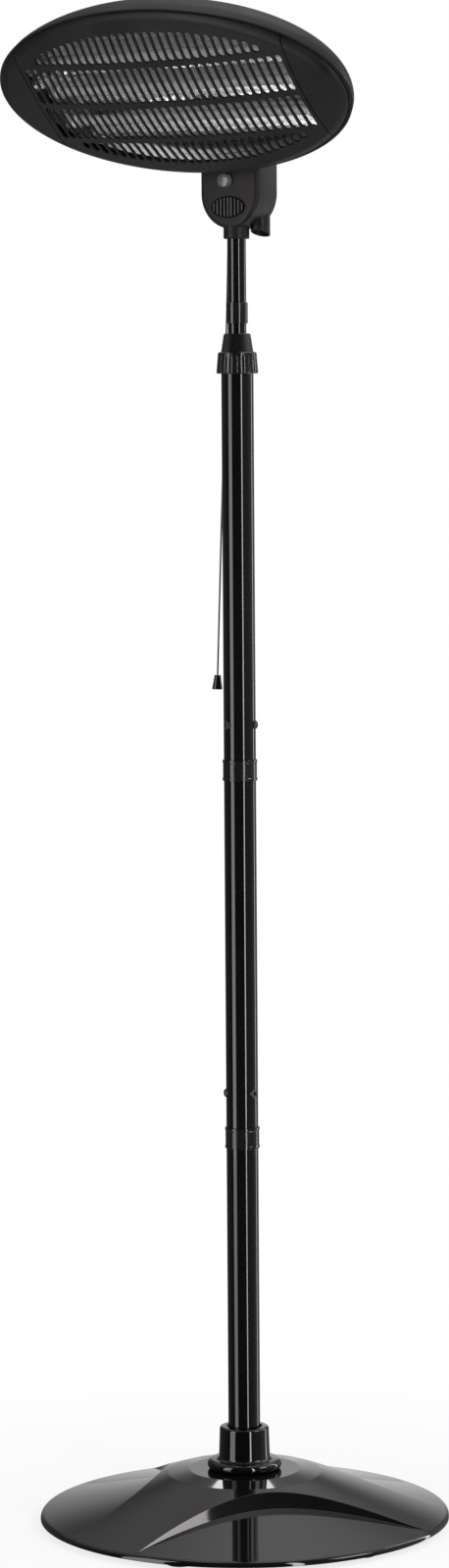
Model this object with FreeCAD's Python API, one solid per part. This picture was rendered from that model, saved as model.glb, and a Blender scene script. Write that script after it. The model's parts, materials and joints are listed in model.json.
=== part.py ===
import FreeCAD, Part
import math
import os

from FreeCAD import Matrix, Placement, Rotation, Vector

# Free-standing quartz patio heater, in millimetres.
# +Z is up, the mast stands on the Z axis, the floor is z = 0 and the head faces -Y.
# Angles round the mast are counted from the front (-Y) towards +X.

# Fits
glued_gap = 0.05          # round a piece that is glued or screwed into another
running_gap = 0.06        # round a shaft or tube that turns or slides in its bore
air_gap = 0.35            # between curved faces that move past each other
cut_margin = 1.0          # how far a drill or cutter runs past the face that it opens

# Base
base_radius = 245.0
base_wall = 3.0
plateau_height = 64.0
plateau_radius = 66.0
bevel_radius = 92.0
bevel_height = 60.0
rim_top = 13.0
rim_round = 6.0
scallop_count = 3
scallop_angle = 51.0      # centre of the first scallop
scallop_ridge = 100.0     # least distance of a scallop's ridge from the mast
scallop_sweep = 475.0     # radius of the ridge's arc, seen from above
scallop_draft = 31.0      # lean of the scallop's wall, degrees
scallop_floor_height = 42.0
foot_height = 6.0
foot_radius = 17.0
foot_circle = 214.0
foot_count = 6
foot_angle = 15.0
foot_edge = 1.5
foot_taper = 1.0
plate_thickness = 2.0
plate_radius = 236.0
plate_screw_grip = 7.0
weight_radius = 188.0
weight_bore = 24.0
weight_gap = 0.5
boss_circle = 200.0
boss_radius = 4.5
boss_angle = scallop_angle + 60.0

# Mast socket
socket_radius = 30.5
socket_top_radius = 29.5
socket_height = 51.5
socket_round = 3.0
socket_fillet = 4.0       # between the flange and the barrel
socket_shelf = 5.0        # width of the ledge under the tube
socket_mouth = 2.5
socket_mouth_depth = 5.0
socket_screw_grip = 2.0
flange_radius = 44.4
flange_height = 12.0
tube_seat = 3.0           # floor left under the mast in the socket
socket_screw_circle = 37.0
socket_screw_count = 4

# Mast
tube_radius = 19.0
tube_wall = 1.2
lower_tube_length = 385.3
middle_tube_length = 414.0
upper_tube_length = 475.7
collar_radius = 20.6
collar_height = 25.0
spigot_length = 70.0
spigot_wall = 3.0
collar_edge = 1.0
joint_screw_rise = 41.5   # above the collar
joint_screw_count = 3
joint_screw_end = 2.0     # shows past the spigot's wall
lower_screw_angle = 79.4
upper_screw_angle = -13.6

# Clamp at the top of the mast
clamp_wall = 2.0
clamp_cap = 3.0
clamp_spigot = 20.0
clamp_lip = 2.0           # the sleeve outside the mast is this much shorter
collet_base_radius = 16.5
collet_top_radius = 13.5
collet_height = 17.0
collet_slots = 6
collet_slot_width = 1.5
collet_root = 2.0         # left whole under the collet's slots
nut_bottom_radius = 24.7
nut_top_radius = 23.0
nut_ring_height = 25.2
nut_drop = 21.4           # the nut's skirt hangs this far below the end of the tube
nut_wall = 2.1
nut_cone_height = 21.7
nut_flutes = 20
nut_flute_radius = 1.3
nut_flute_stop = 4.0      # flutes end this far below the ring's top
nut_edge = 1.5

# Telescopic post
post_radius = 11.0
post_wall = 1.2
post_inside = 350.0       # length of the post that is inside the mast at rest
bush_length = 32.0
bush_floor = 3.0
bush_shelf = 4.0          # width of the ledge under the post
bush_edge = 1.0
sleeve_wall = 1.7
sleeve_height = 24.6
sleeve_edge = 0.6
sleeve_rest_gap = 11.7    # from the nut up to the stop sleeve
post_show = 74.0          # bare post between the stop sleeve and the neck

# Neck
neck_half_width = 41.5
neck_front = -16.0
neck_back = 28.0
neck_wall = 2.5
neck_edge = 6.0
neck_collar_radius = 15.2
neck_collar_overlap = 6.0  # the collar reaches this far up inside the neck
neck_socket_wall = 2.1
neck_collar_edge = 0.8
post_stop = 3.0           # width of the ledge over the post's end
post_stop_height = 4.0
neck_collar_height = 11.5
neck_collar_inside = 27.0
pivot_rise = 116.0        # tilt axis above the bottom of the neck
lens_x = -3.0
lens_rise = 56.0
lens_radius = 8.4
lens_bulge = 4.5
lens_flange = 1.5
badge_rise = 25.0
badge_half_width = 23.5
badge_half_height = 12.6
badge_proud = 1.2
badge_recess = 1.0
badge_rib_pitch = 5.0
badge_rib_width = 1.6
badge_rib_height = 0.6
badge_border = 1.5
badge_ribs = 9
hood_x = 22.0
hood_y = 17.5
hood_radius = 11.5
hood_wall = 2.0
hood_drop = 9.0
hood_top = 22.0
hood_slant = 20.0
gland_bore = 4.2
gland_length = 8.0
gland_rise = 2.5
gland_edge = 1.0
cover_screw_x = 31.0
cover_screw_rise = 80.0
cover_screw_boss = 4.0
cover_screw_spare = 4.0   # bore left past the screw's point
top_screw_rise = 122.0
terminal_width = 24.0
terminal_depth = 10.0
terminal_height = 14.0
terminal_x = 8.0
terminal_rise = 92.0

# Pull switch and cord
switch_width = 28.0
switch_depth = 20.0
switch_height = 32.0
switch_rise = 35.0
switch_roof = 4.0         # left whole over the plunger's bore
plunger_radius = 3.2
plunger_length = 8.0
plunger_rise = 51.0
guide_radius = 4.5
guide_mouth_radius = 6.0
guide_bore = 2.6
guide_length = 18.0
guide_drop = 2.0          # the guide's mouth hangs this far below the neck
guide_mouth_height = 3.0
guide_lip = 1.0
guide_taper = 1.5
guide_flare_height = 0.9   # middle of the mouth's flare
cord_diameter = 2.0
cord_bend_share = 0.45     # part of the shorter run that a bend takes up
knob_top_radius = 3.4
knob_bottom_radius = 5.6
knob_waist_radius = 4.28   # half-way down the bell
knob_length = 17.0
knob_neck = 4.0           # straight stretch at the knob's top
knob_edge = 0.7
knob_lip = 2.0            # rounding at the knob's foot
# The cord hangs from the switch behind the mast; x, y, and drop below the neck's bottom
cord_route = [
    (-22.7, 15.9, -51.0),
    (-22.7, 15.9, 1.0),
    (-26.6, 14.3, 146.0),
    (-31.8, 10.1, 346.0),
    (-35.6, 5.6, 524.5),
]

# Tilt joint
tilt_rest = 45.0          # the face looks this far below level
pivot_drop = 118.0        # tilt axis below the head's centre, along the face
pivot_depth = 67.0        # tilt axis behind the rim
washer_radius = 11.0
washer_thickness = 1.0
washer_gap = 0.05
tilt_screw_radius = 4.0
tilt_screw_inside = 12.0
tilt_head_radius = 8.0
tilt_head_height = 5.0
arm_thickness = 3.0
arm_end_radius = 14.0
bracket_web = 3.0
bracket_web_top = -8.0
bracket_web_bottom = -58.0
bracket_arm_depth = 12.0
bracket_arm_belly = 18.0
bracket_bend = -92.0      # the arms run along the shell's back down to here
bracket_screw_x = 28.0
bracket_screw_end = 1.0   # shows past the shell's wall
bracket_screw_rows = (-20.0, -46.0)

# Head, drawn in its own frame: x across, y up the face, z out of the face, rim at z = 0
head_half_width = 242.0
head_half_height = 125.0
rim_wall_depth = 9.0
rim_draft = 1.0
shell_wall = 2.5
shell_bulge_radius = 109.0
shell_bulge_depth = 38.0
back_radius = 62.0
back_depth = 60.0
ledge_width = 10.0
ledge_depth = 3.5
ledge_thickness = 2.5
front_gap = 0.3
front_wall = 2.5
front_edge_rise = 0.5
front_shoulder = 9.0
front_shoulder_rise = 7.0
front_shoulder_step = 1.0  # the inner shoulder lies this far further in
front_corner_in = 2.7      # middle of the shoulder's round, in from the edge
front_corner_rise = 4.34
front_crown = 21.0
front_lip = 4.0
seam_half_width = 186.5   # at mid height
seam_flare = 5.0          # further out at the seam's ends
seam_gap = 1.4
vent_rows = 4
vent_pitch = 9.0
vent_first = 12.0
vent_half_length = 42.0
vent_width = 4.0

# Grille slots
slot_columns = 32
slot_pitch = 11.4
slot_width = 8.6
crossbar = 6.5
slot_row_height = 50.0
window_half_width = 218.0
window_half_height = 100.0
shortest_slot = 11.0

# Reflector, tubes and holders
reflector_radius = 109.0
reflector_sheet = 0.8
reflector_flange = 116.5
trough_pitch = 48.0
trough_crest = -15.0
trough_bottom = -29.0
tube_pitch = 46.0
quartz_radius = 6.0
quartz_wall = 1.0
quartz_half_length = 170.0
quartz_depth = 12.5
coil_radius = 3.6
cap_radius = 8.0
cap_length = 16.0
cap_grip = 6.0
holder_x = 172.0
holder_sheet = 1.2
holder_half_height = 58.0
holder_bore = 4.0         # half the length of the cutter for a cap's hole
holder_front = -3.5

# Small fasteners
small_screw = 2.0
small_head = 4.4
small_head_height = 2.6
joint_head = 5.2
joint_head_height = 3.0
fine_screw = 1.2
fine_head = 3.3
fine_head_height = 1.8
head_taper = 0.72         # top of a screw's head over its underside

# Heights worked out from the sizes above
plate_top = foot_height + plate_thickness
slope_radius = base_radius - rim_round
tube_bottom = plateau_height + tube_seat
lower_collar = tube_bottom + lower_tube_length
upper_collar = lower_collar + collar_height + middle_tube_length
mast_top = upper_collar + collar_height + upper_tube_length
nut_bottom = mast_top - nut_drop
nut_ring_top = nut_bottom + nut_ring_height
nut_top = nut_ring_top + nut_cone_height
sleeve_bottom = nut_top + sleeve_rest_gap
collar_bottom = sleeve_bottom + sleeve_height + post_show
neck_bottom = collar_bottom + neck_collar_height
neck_centre = neck_bottom + neck_half_width
neck_axis_y = (neck_front + neck_back) / 2
neck_top_radius = (neck_back - neck_front) / 2
pivot_height = neck_bottom + pivot_rise
post_bottom = mast_top - post_inside
post_top = collar_bottom + neck_collar_height + neck_collar_inside
bore_radius = tube_radius - tube_wall
washer_inner = neck_half_width + washer_gap
arm_inner = washer_inner + washer_thickness + washer_gap
front_radius = head_half_height - shell_wall - front_gap
gland_bottom = neck_bottom + gland_rise
head_turn = Rotation(Vector(1, 0, 0), 90 + tilt_rest)
head_place = Placement(
    Vector(0, neck_axis_y, pivot_height) + head_turn.multVec(Vector(0, pivot_drop, pivot_depth)),
    head_turn,
)

up = Vector(0, 0, 1)
origin = Vector(0, 0, 0)


def flat_xz(x, z):
    return Vector(x, 0, z)


def flat_yz(y, z):
    return Vector(0, y, z)


def flat_xy(x, y):
    return Vector(x, y, 0)


def outline(steps, place):
    """Closed wire through flat points; a step of two points is an arc by its middle and its end."""
    here = place(*steps[0])
    edges = []
    for step in steps[1:] + steps[:1]:
        if isinstance(step[0], tuple):
            end = place(*step[1])
            edges.append(Part.Arc(here, place(*step[0]), end).toShape())
        else:
            end = place(*step)
            if not end.isEqual(here, 1e-6):
                edges.append(Part.LineSegment(here, end).toShape())
        here = end
    return Part.Wire(edges)


def turned(steps):
    """Solid of revolution about Z from (radius, height) steps."""
    return Part.Face(outline(steps, flat_xz)).revolve(origin, up, 360)


def extruded(steps, place, along):
    return Part.Face(outline(steps, place)).extrude(along)


def ring(inner, outer, bottom, top):
    return turned([(inner, bottom), (outer, bottom), (outer, top), (inner, top)])


def rod(radius, start, end):
    along = end - start
    return Part.makeCylinder(radius, along.Length, start, along)


def around(angle, radius, height):
    turn = math.radians(angle)
    return Vector(radius * math.sin(turn), -radius * math.cos(turn), height)


def placed(shape, position, direction):
    """A copy with its own +Z turned along a direction and its origin moved to a position."""
    copy = shape.copy()
    copy.Placement = Placement(position, Rotation(up, direction))
    return copy


def crown(radius, bottom, height):
    """Arc step of a round crown, from a rim of some radius up to its top on the axis."""
    sphere = (radius ** 2 + height ** 2) / (2 * height)
    half_turn = math.asin(min(1, radius / sphere)) / 2
    middle = (sphere * math.sin(half_turn), bottom + height - sphere * (1 - math.cos(half_turn)))
    return middle, (0, bottom + height)


def screw(radius, length, head_radius, head_height):
    """Screw with a tapered head: the head's underside is at z = 0 and the shank points down."""
    return turned([
        (0, -length),
        (radius, -length),
        (radius, 0),
        (head_radius, 0),
        (head_taper * head_radius, head_height),
        (0, head_height),
    ])


def in_head(shape):
    """Turn a piece drawn in the head's own frame to its place at rest."""
    copy = shape.copy()
    copy.Placement = head_place.multiply(copy.Placement)
    return copy


def oval(shape):
    """Stretch a round shape across, to the head's ellipse."""
    stretch = Matrix()
    stretch.scale(head_half_width / head_half_height, 1, 1)
    return shape.transformGeometry(stretch)


def oval_point(angle, radius, z):
    turn = math.radians(angle)
    across = radius * head_half_width / head_half_height
    return Vector(across * math.cos(turn), radius * math.sin(turn), z)


# Base

def slope_height(radius):
    share = (radius - bevel_radius) / (slope_radius - bevel_radius)
    return bevel_height + share * (rim_top - bevel_height)


def scallop_floor(radius):
    share = (slope_radius - radius) / (slope_radius - scallop_ridge)
    return rim_top + share * (scallop_floor_height - rim_top)


def scallop_cutter(index, inset):
    """Space over one scallop's sloping floor and inside its leaning wall, grown by an inset."""
    top = plateau_height + base_wall
    reach = base_radius + base_wall
    over_floor = turned([
        (0, scallop_floor(0) - inset),
        (reach, scallop_floor(reach) - inset),
        (reach, 2 * top),
        (0, 2 * top),
    ])
    lean = math.tan(math.radians(scallop_draft))
    ridge_height = slope_height(scallop_ridge)
    low_radius = scallop_sweep + inset - ridge_height * lean
    high_radius = low_radius + 2 * top * lean
    angle = scallop_angle + index * 360 / scallop_count
    centre = around(angle, scallop_ridge + scallop_sweep, 0)
    return over_floor.common(Part.makeCone(low_radius, high_radius, 2 * top, centre, up))


def socket_screw_points(height):
    return [
        around(45 + index * 360 / socket_screw_count, socket_screw_circle, height)
        for index in range(socket_screw_count)
    ]


def plate_screw_points(height):
    return [
        around(boss_angle + index * 360 / scallop_count, boss_circle, height)
        for index in range(scallop_count)
    ]


def make_base_cover():
    round_middle = rim_round * math.sqrt(0.5)
    dome = turned([
        (0, foot_height),
        (base_radius, foot_height),
        (base_radius, rim_top - rim_round),
        ((slope_radius + round_middle, rim_top - rim_round + round_middle), (slope_radius, rim_top)),
        (bevel_radius, bevel_height),
        (plateau_radius, plateau_height),
        (0, plateau_height),
    ])
    cavity_radius = plate_radius + glued_gap
    cavity = turned([
        (0, 0),
        (cavity_radius, 0),
        (cavity_radius, slope_height(cavity_radius) - base_wall),
        (bevel_radius, bevel_height - base_wall),
        (plateau_radius, plateau_height - base_wall),
        (0, plateau_height - base_wall),
    ])
    for index in range(scallop_count):
        dome = dome.cut(scallop_cutter(index, 0))
        cavity = cavity.cut(scallop_cutter(index, base_wall))
    cover = dome.cut(cavity)
    boss_top = slope_height(boss_circle) - base_wall / 2
    for point in plate_screw_points(plate_top):
        cover = cover.fuse(Part.makeCylinder(boss_radius, boss_top - plate_top, point, up))
    for point in plate_screw_points(0):
        cover = cover.cut(Part.makeCylinder(small_screw + glued_gap, boss_top - base_wall, point, up))
    for point in socket_screw_points(0):
        cover = cover.cut(Part.makeCylinder(small_screw + glued_gap, 2 * plateau_height, point, up))
    return cover.removeSplitter()


def make_base_weight():
    clear = base_wall + weight_gap
    return turned([
        (weight_bore, plate_top),
        (weight_radius, plate_top),
        (weight_radius, scallop_floor(weight_radius) - clear),
        (scallop_ridge, scallop_floor_height - clear),
        (weight_bore, scallop_floor_height - clear),
    ])


def make_base_plate():
    plate = Part.makeCylinder(plate_radius, plate_thickness, Vector(0, 0, foot_height), up)
    for point in plate_screw_points(0):
        plate = plate.cut(Part.makeCylinder(small_screw + glued_gap, 2 * plate_top, point, up))
    return plate


def make_base_feet():
    foot = turned([
        (0, 0),
        (foot_radius - foot_edge, 0),
        (foot_radius, foot_edge),
        (foot_radius - foot_taper, foot_height),
        (0, foot_height),
    ])
    step = 360 / foot_count
    return Part.makeCompound([
        placed(foot, around(foot_angle + index * step, foot_circle, 0), up) for index in range(foot_count)
    ])


def make_plate_screws():
    one = screw(small_screw, plate_thickness + plate_screw_grip, small_head, small_head_height)
    return Part.makeCompound([placed(one, point, -up) for point in plate_screw_points(foot_height)])


# Mast

def make_mast_socket():
    top = plateau_height + socket_height
    bore = tube_radius + glued_gap
    flange_top = plateau_height + flange_height
    flange_mid = plateau_height + flange_height / 2
    flange_flat = flange_radius - flange_height / 2
    round_corner = socket_round * (1 - math.sqrt(0.5))
    fillet_corner = socket_fillet * (1 - math.sqrt(0.5))
    fillet_middle = (socket_radius + fillet_corner, flange_top + fillet_corner)
    screw_reach = flange_mid + socket_screw_grip
    socket = turned([
        (bore - socket_shelf, plateau_height),
        (flange_flat, plateau_height),
        ((flange_radius, flange_mid), (flange_flat, flange_top)),
        (socket_radius + socket_fillet, flange_top),
        (fillet_middle, (socket_radius, flange_top + socket_fillet)),
        (socket_top_radius, top - socket_round),
        ((socket_top_radius - round_corner, top - round_corner), (socket_top_radius - socket_round, top)),
        (bore + socket_mouth, top),
        (bore, top - socket_mouth_depth),
        (bore, tube_bottom),
        (bore - socket_shelf, tube_bottom),
    ])
    for point in socket_screw_points(0):
        socket = socket.cut(Part.makeCylinder(small_screw + glued_gap, screw_reach, point, up))
    return socket


def make_socket_screws():
    length = base_wall + flange_height / 2
    one = screw(small_screw, length, small_head, small_head_height)
    points = socket_screw_points(plateau_height - base_wall)
    return Part.makeCompound([placed(one, point, -up) for point in points])


def joint_screw_spots(collar, first_angle):
    height = collar + collar_height + joint_screw_rise
    step = 360 / joint_screw_count
    return [(first_angle + index * step, height) for index in range(joint_screw_count)]


def drill_joint_screws(shape, collar, first_angle):
    for angle, height in joint_screw_spots(collar, first_angle):
        hole = rod(small_screw + glued_gap, around(angle, 0, height), around(angle, collar_radius, height))
        shape = shape.cut(hole)
    return shape


def make_tube(bottom, length):
    return ring(bore_radius, tube_radius, bottom, bottom + length)


def make_joint(collar, first_angle):
    """Collar between two mast tubes, with a hollow spigot in each."""
    outer = bore_radius - glued_gap
    inner = outer - spigot_wall
    top = collar + collar_height
    joint = turned([
        (inner, collar - spigot_length),
        (outer, collar - spigot_length),
        (outer, collar),
        (collar_radius - collar_edge, collar),
        (collar_radius, collar + collar_edge),
        (collar_radius, top - collar_edge),
        (collar_radius - collar_edge, top),
        (outer, top),
        (outer, top + spigot_length),
        (inner, top + spigot_length),
    ])
    return drill_joint_screws(joint, collar, first_angle)


def make_joint_screws():
    length = tube_wall + spigot_wall + joint_screw_end
    one = screw(small_screw, length, joint_head, joint_head_height)
    spots = joint_screw_spots(lower_collar, lower_screw_angle)
    spots += joint_screw_spots(upper_collar, upper_screw_angle)
    return Part.makeCompound([
        placed(one, around(angle, tube_radius + glued_gap, height), around(angle, 1, 0))
        for angle, height in spots
    ])


# Clamp and telescopic post

def make_clamp_body():
    """Cap on the mast's end with a split collet round the post."""
    inner = post_radius + running_gap
    sleeve_inner = tube_radius + glued_gap
    sleeve_outer = sleeve_inner + clamp_wall
    cap_top = mast_top + clamp_cap
    collet_top = cap_top + collet_height
    body = turned([
        (inner, mast_top - clamp_spigot),
        (bore_radius - glued_gap, mast_top - clamp_spigot),
        (bore_radius - glued_gap, mast_top),
        (sleeve_inner, mast_top),
        (sleeve_inner, mast_top - clamp_spigot + clamp_lip),
        (sleeve_outer, mast_top - clamp_spigot + clamp_lip),
        (sleeve_outer, cap_top),
        (collet_base_radius, cap_top),
        (collet_top_radius, collet_top),
        (inner, collet_top),
    ])
    slot = Part.makeBox(2 * tube_radius, collet_slot_width, collet_height)
    for index in range(collet_slots):
        cutter = slot.copy()
        cutter.translate(Vector(0, -collet_slot_width / 2, cap_top + collet_root))
        cutter.rotate(origin, up, index * 360 / collet_slots)
        body = body.cut(cutter)
    return body


def make_clamp_nut():
    """Fluted twist ring with a cone that closes the collet."""
    skirt = tube_radius + glued_gap + clamp_wall + air_gap
    cap_top = mast_top + clamp_cap + air_gap
    collet_top = cap_top + collet_height
    cone_base = collet_base_radius + air_gap + nut_wall
    cone_top = collet_top_radius + air_gap + nut_wall
    nut = turned([
        (skirt, nut_bottom),
        (nut_bottom_radius, nut_bottom),
        (nut_top_radius, nut_ring_top - nut_edge),
        (nut_top_radius - nut_edge, nut_ring_top),
        (cone_base, nut_ring_top),
        (cone_top, nut_top - nut_edge),
        (cone_top - nut_edge, nut_top),
        (post_radius + air_gap, nut_top),
        (post_radius + air_gap, collet_top),
        (collet_top_radius + air_gap, collet_top),
        (collet_base_radius + air_gap, cap_top),
        (skirt, cap_top),
    ])
    flute_height = nut_ring_height - nut_flute_stop
    flute = Part.makeCylinder(nut_flute_radius, flute_height, Vector(0, 0, nut_bottom), up)
    for index in range(nut_flutes):
        cutter = flute.copy()
        cutter.translate(around(index * 360 / nut_flutes, nut_bottom_radius, 0))
        nut = nut.cut(cutter)
    return nut


def make_inner_tube():
    return ring(post_radius - post_wall, post_radius, post_bottom, post_top)


def make_guide_bush():
    outer = bore_radius - running_gap
    inner = post_radius + running_gap
    bottom = post_bottom - bush_floor
    return turned([
        (inner - bush_shelf, bottom),
        (outer - bush_edge, bottom),
        (outer, bottom + bush_edge),
        (outer, bottom + bush_length - bush_edge),
        (outer - bush_edge, bottom + bush_length),
        (inner, bottom + bush_length),
        (inner, post_bottom),
        (inner - bush_shelf, post_bottom),
    ])


def make_stop_sleeve():
    inner = post_radius + glued_gap
    outer = inner + sleeve_wall
    top = sleeve_bottom + sleeve_height
    return turned([
        (inner, sleeve_bottom),
        (outer - sleeve_edge, sleeve_bottom),
        (outer, sleeve_bottom + sleeve_edge),
        (outer, top - sleeve_edge),
        (outer - sleeve_edge, top),
        (inner, top),
    ])


# Neck

def make_neck_socket():
    inner = post_radius + glued_gap
    outer = inner + neck_socket_wall
    step = neck_bottom + neck_collar_overlap
    top = post_top + post_stop_height
    return turned([
        (inner, collar_bottom),
        (neck_collar_radius - neck_collar_edge, collar_bottom),
        (neck_collar_radius, collar_bottom + neck_collar_edge),
        (neck_collar_radius, step),
        (outer, step),
        (outer, top),
        (inner - post_stop, top),
        (inner - post_stop, post_top),
        (inner, post_top),
    ])


def neck_block(inset):
    """The neck's shield shape, rounded over the tilt axis, shrunk by an inset."""
    half = neck_half_width - inset
    front = neck_front + inset
    back = neck_back - inset
    top = pivot_height + neck_top_radius - inset
    shield = extruded(
        [
            (-half, top),
            (-half, neck_centre),
            ((0, neck_centre - half), (half, neck_centre)),
            (half, top),
        ],
        flat_xz,
        Vector(0, back - front, 0),
    )
    shield.translate(Vector(0, front, 0))
    side = extruded(
        [
            (front, neck_bottom),
            (front, pivot_height),
            ((neck_axis_y, top), (back, pivot_height)),
            (back, neck_bottom),
        ],
        flat_yz,
        Vector(2 * half, 0, 0),
    )
    side.translate(Vector(-half, 0, 0))
    return shield.common(side)


def neck_outside():
    block = neck_block(0).removeSplitter()
    rounded = [edge for edge in block.Edges if abs(edge.tangentAt(edge.FirstParameter).x) < 0.99
               or edge.BoundBox.XLength > neck_half_width]
    return block.makeFillet(neck_edge, rounded)


def neck_half(shape, front_half):
    tall = 2 * pivot_height
    wide = 4 * neck_half_width
    box = Part.makeBox(wide, wide, tall)
    box.translate(Vector(-wide / 2, -wide if front_half else 0, 0))
    return shape.common(box)


def cover_screw_points(y):
    height = neck_bottom + cover_screw_rise
    return [
        Vector(-cover_screw_x, y, height),
        Vector(cover_screw_x, y, height),
        Vector(0, y, neck_bottom + top_screw_rise),
    ]


def with_bosses(cover, front_half):
    """Add the screw bosses inside a neck cover and bore them."""
    for point in cover_screw_points(0):
        wall = neck_front + neck_wall / 2 if front_half else neck_back - neck_wall / 2
        end = Vector(point.x, wall, point.z)
        cover = cover.fuse(rod(cover_screw_boss, point, end))
        far = Vector(point.x, neck_front + neck_wall + cut_margin if front_half else neck_back + cut_margin,
                     point.z)
        cover = cover.cut(rod(fine_screw + glued_gap, point, far))
    hole_radius = neck_collar_radius + glued_gap
    hole_height = neck_collar_height + neck_collar_overlap + glued_gap
    return cover.cut(Part.makeCylinder(hole_radius, hole_height, Vector(0, 0, collar_bottom), up))


def badge_oval(grow, start, end):
    """Upright oval prism on the neck's front, between two depths."""
    ellipse = Part.Ellipse(origin, badge_half_width + grow, badge_half_height + grow)
    face = Part.Face(Part.Wire([ellipse.toShape()]))
    face.rotate(origin, Vector(1, 0, 0), 90)
    face.translate(Vector(0, start, neck_bottom + badge_rise))
    return face.extrude(Vector(0, end - start, 0))


def make_neck_front(outside):
    cover = neck_half(outside.cut(neck_block(neck_wall)), True)
    cover = with_bosses(cover, True)
    lens_at = Vector(lens_x, neck_front - cut_margin, neck_bottom + lens_rise)
    lens_end = lens_at + Vector(0, neck_wall + 2 * cut_margin, 0)
    cover = cover.cut(rod(lens_radius + glued_gap, lens_at, lens_end))
    recess = badge_oval(glued_gap, neck_front - cut_margin, neck_front + badge_recess)
    return cover.cut(recess)


def make_neck_rear(outside):
    hood_low = neck_bottom - hood_drop
    hood_high = neck_bottom + hood_top
    hood = Part.makeCylinder(hood_radius, hood_high - hood_low, Vector(hood_x, hood_y, hood_low), up)
    slant = Part.makeBox(8 * hood_radius, 8 * hood_radius, 4 * hood_radius)
    slant.translate(Vector(-4 * hood_radius, -4 * hood_radius, -4 * hood_radius))
    slant.rotate(origin, Vector(1, 0, 0), -hood_slant)
    slant.translate(Vector(hood_x, hood_y + hood_radius, hood_low))
    cover = neck_half(outside, False).fuse(hood.cut(slant))
    cover = cover.cut(neck_block(neck_wall))
    hood_start = Vector(hood_x, hood_y, hood_low - cut_margin)
    cover = cover.cut(Part.makeCylinder(hood_radius - hood_wall, hood_high - hood_start.z, hood_start, up))
    cover = with_bosses(cover, False)
    guide_at = Vector(cord_route[0][0], cord_route[0][1], neck_bottom - guide_length)
    cover = cover.cut(Part.makeCylinder(guide_radius + glued_gap, 3 * guide_length, guide_at, up))
    pivot = Vector(0, neck_axis_y, pivot_height)
    reach = Vector(neck_half_width + cut_margin, 0, 0)
    return cover.cut(rod(tilt_screw_radius + glued_gap, pivot - reach, pivot + reach)).removeSplitter()


def make_cover_screws():
    length = neck_back - neck_front - neck_wall - cover_screw_spare
    one = screw(fine_screw, length, fine_head, fine_head_height)
    return Part.makeCompound([placed(one, point, Vector(0, 1, 0)) for point in cover_screw_points(neck_back)])


def make_indicator_lens():
    dome = turned([
        (0, -neck_wall - lens_flange),
        (lens_radius + lens_flange, -neck_wall - lens_flange),
        (lens_radius + lens_flange, -neck_wall),
        (lens_radius, -neck_wall),
        (lens_radius, lens_bulge / 4),
        crown(lens_radius, lens_bulge / 4, lens_bulge * 3 / 4),
    ])
    return placed(dome, Vector(lens_x, neck_front, neck_bottom + lens_rise), Vector(0, -1, 0))


def make_badge_plate():
    face_y = neck_front - badge_proud
    plate = badge_oval(0, face_y, neck_front + badge_recess)
    inside = badge_oval(-badge_border, face_y - badge_rib_height, face_y + badge_rib_height / 3)
    rib_reach = 2 * badge_rib_height
    rib_bottom = neck_bottom + badge_rise - badge_half_height
    for index in range(badge_ribs):
        x = (index - (badge_ribs - 1) / 2) * badge_rib_pitch
        rib = Part.makeBox(badge_rib_width, 2 * rib_reach, 2 * badge_half_height)
        rib.translate(Vector(x - badge_rib_width / 2, face_y - rib_reach, rib_bottom))
        plate = plate.fuse(rib.common(inside))
    return plate.removeSplitter()


def make_cable_gland():
    outer = hood_radius - hood_wall - glued_gap
    gland = turned([
        (gland_bore, 0),
        (outer - gland_edge, 0),
        (outer, gland_edge),
        (outer, gland_length),
        (gland_bore, gland_length),
    ])
    return placed(gland, Vector(hood_x, hood_y, gland_bottom), up)


def make_terminal_block():
    block = Part.makeBox(terminal_width, terminal_depth, terminal_height)
    block.translate(Vector(terminal_x, neck_front + neck_wall, neck_bottom + terminal_rise))
    return block


def make_pull_switch():
    x, y = cord_route[0][:2]
    low = neck_bottom + switch_rise
    body = Part.makeBox(switch_width, switch_depth, switch_height)
    body.translate(Vector(x - switch_width / 2, neck_back - neck_wall - switch_depth, low))
    bore = Part.makeCylinder(plunger_radius + running_gap, switch_height - switch_roof, Vector(x, y, low), up)
    return body.cut(bore)


def make_switch_plunger():
    x, y = cord_route[0][:2]
    return Part.makeCylinder(plunger_radius, plunger_length, Vector(x, y, neck_bottom + plunger_rise), up)


def make_cord_guide():
    """Trumpet that leads the pull cord out of the neck."""
    x, y = cord_route[0][:2]
    flare = (guide_mouth_radius - guide_lip - guide_bore) / 3
    guide = turned([
        (guide_bore, guide_mouth_height),
        ((guide_bore + flare, guide_flare_height), (guide_mouth_radius - guide_lip, 0)),
        (guide_mouth_radius, guide_lip),
        (guide_mouth_radius, guide_mouth_height),
        (guide_radius, guide_mouth_height + guide_taper),
        (guide_radius, guide_length),
        (guide_bore, guide_length),
    ])
    return placed(guide, Vector(x, y, neck_bottom - guide_drop), up)


def make_tilt_screws():
    length = arm_inner + arm_thickness + running_gap - neck_half_width + tilt_screw_inside
    one = screw(tilt_screw_radius, length, tilt_head_radius, tilt_head_height)
    reach = arm_inner + arm_thickness + running_gap
    return Part.makeCompound([
        placed(one, Vector(side * reach, neck_axis_y, pivot_height), Vector(side, 0, 0)) for side in (-1, 1)
    ])


def make_tilt_washers():
    washer = ring(tilt_screw_radius + glued_gap, washer_radius, 0, washer_thickness)
    return Part.makeCompound([
        placed(washer, Vector(side * washer_inner, neck_axis_y, pivot_height), Vector(side, 0, 0))
        for side in (-1, 1)
    ])


# Pull cord

def cord_points():
    return [Vector(x, y, neck_bottom - drop) for x, y, drop in cord_route]


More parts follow.
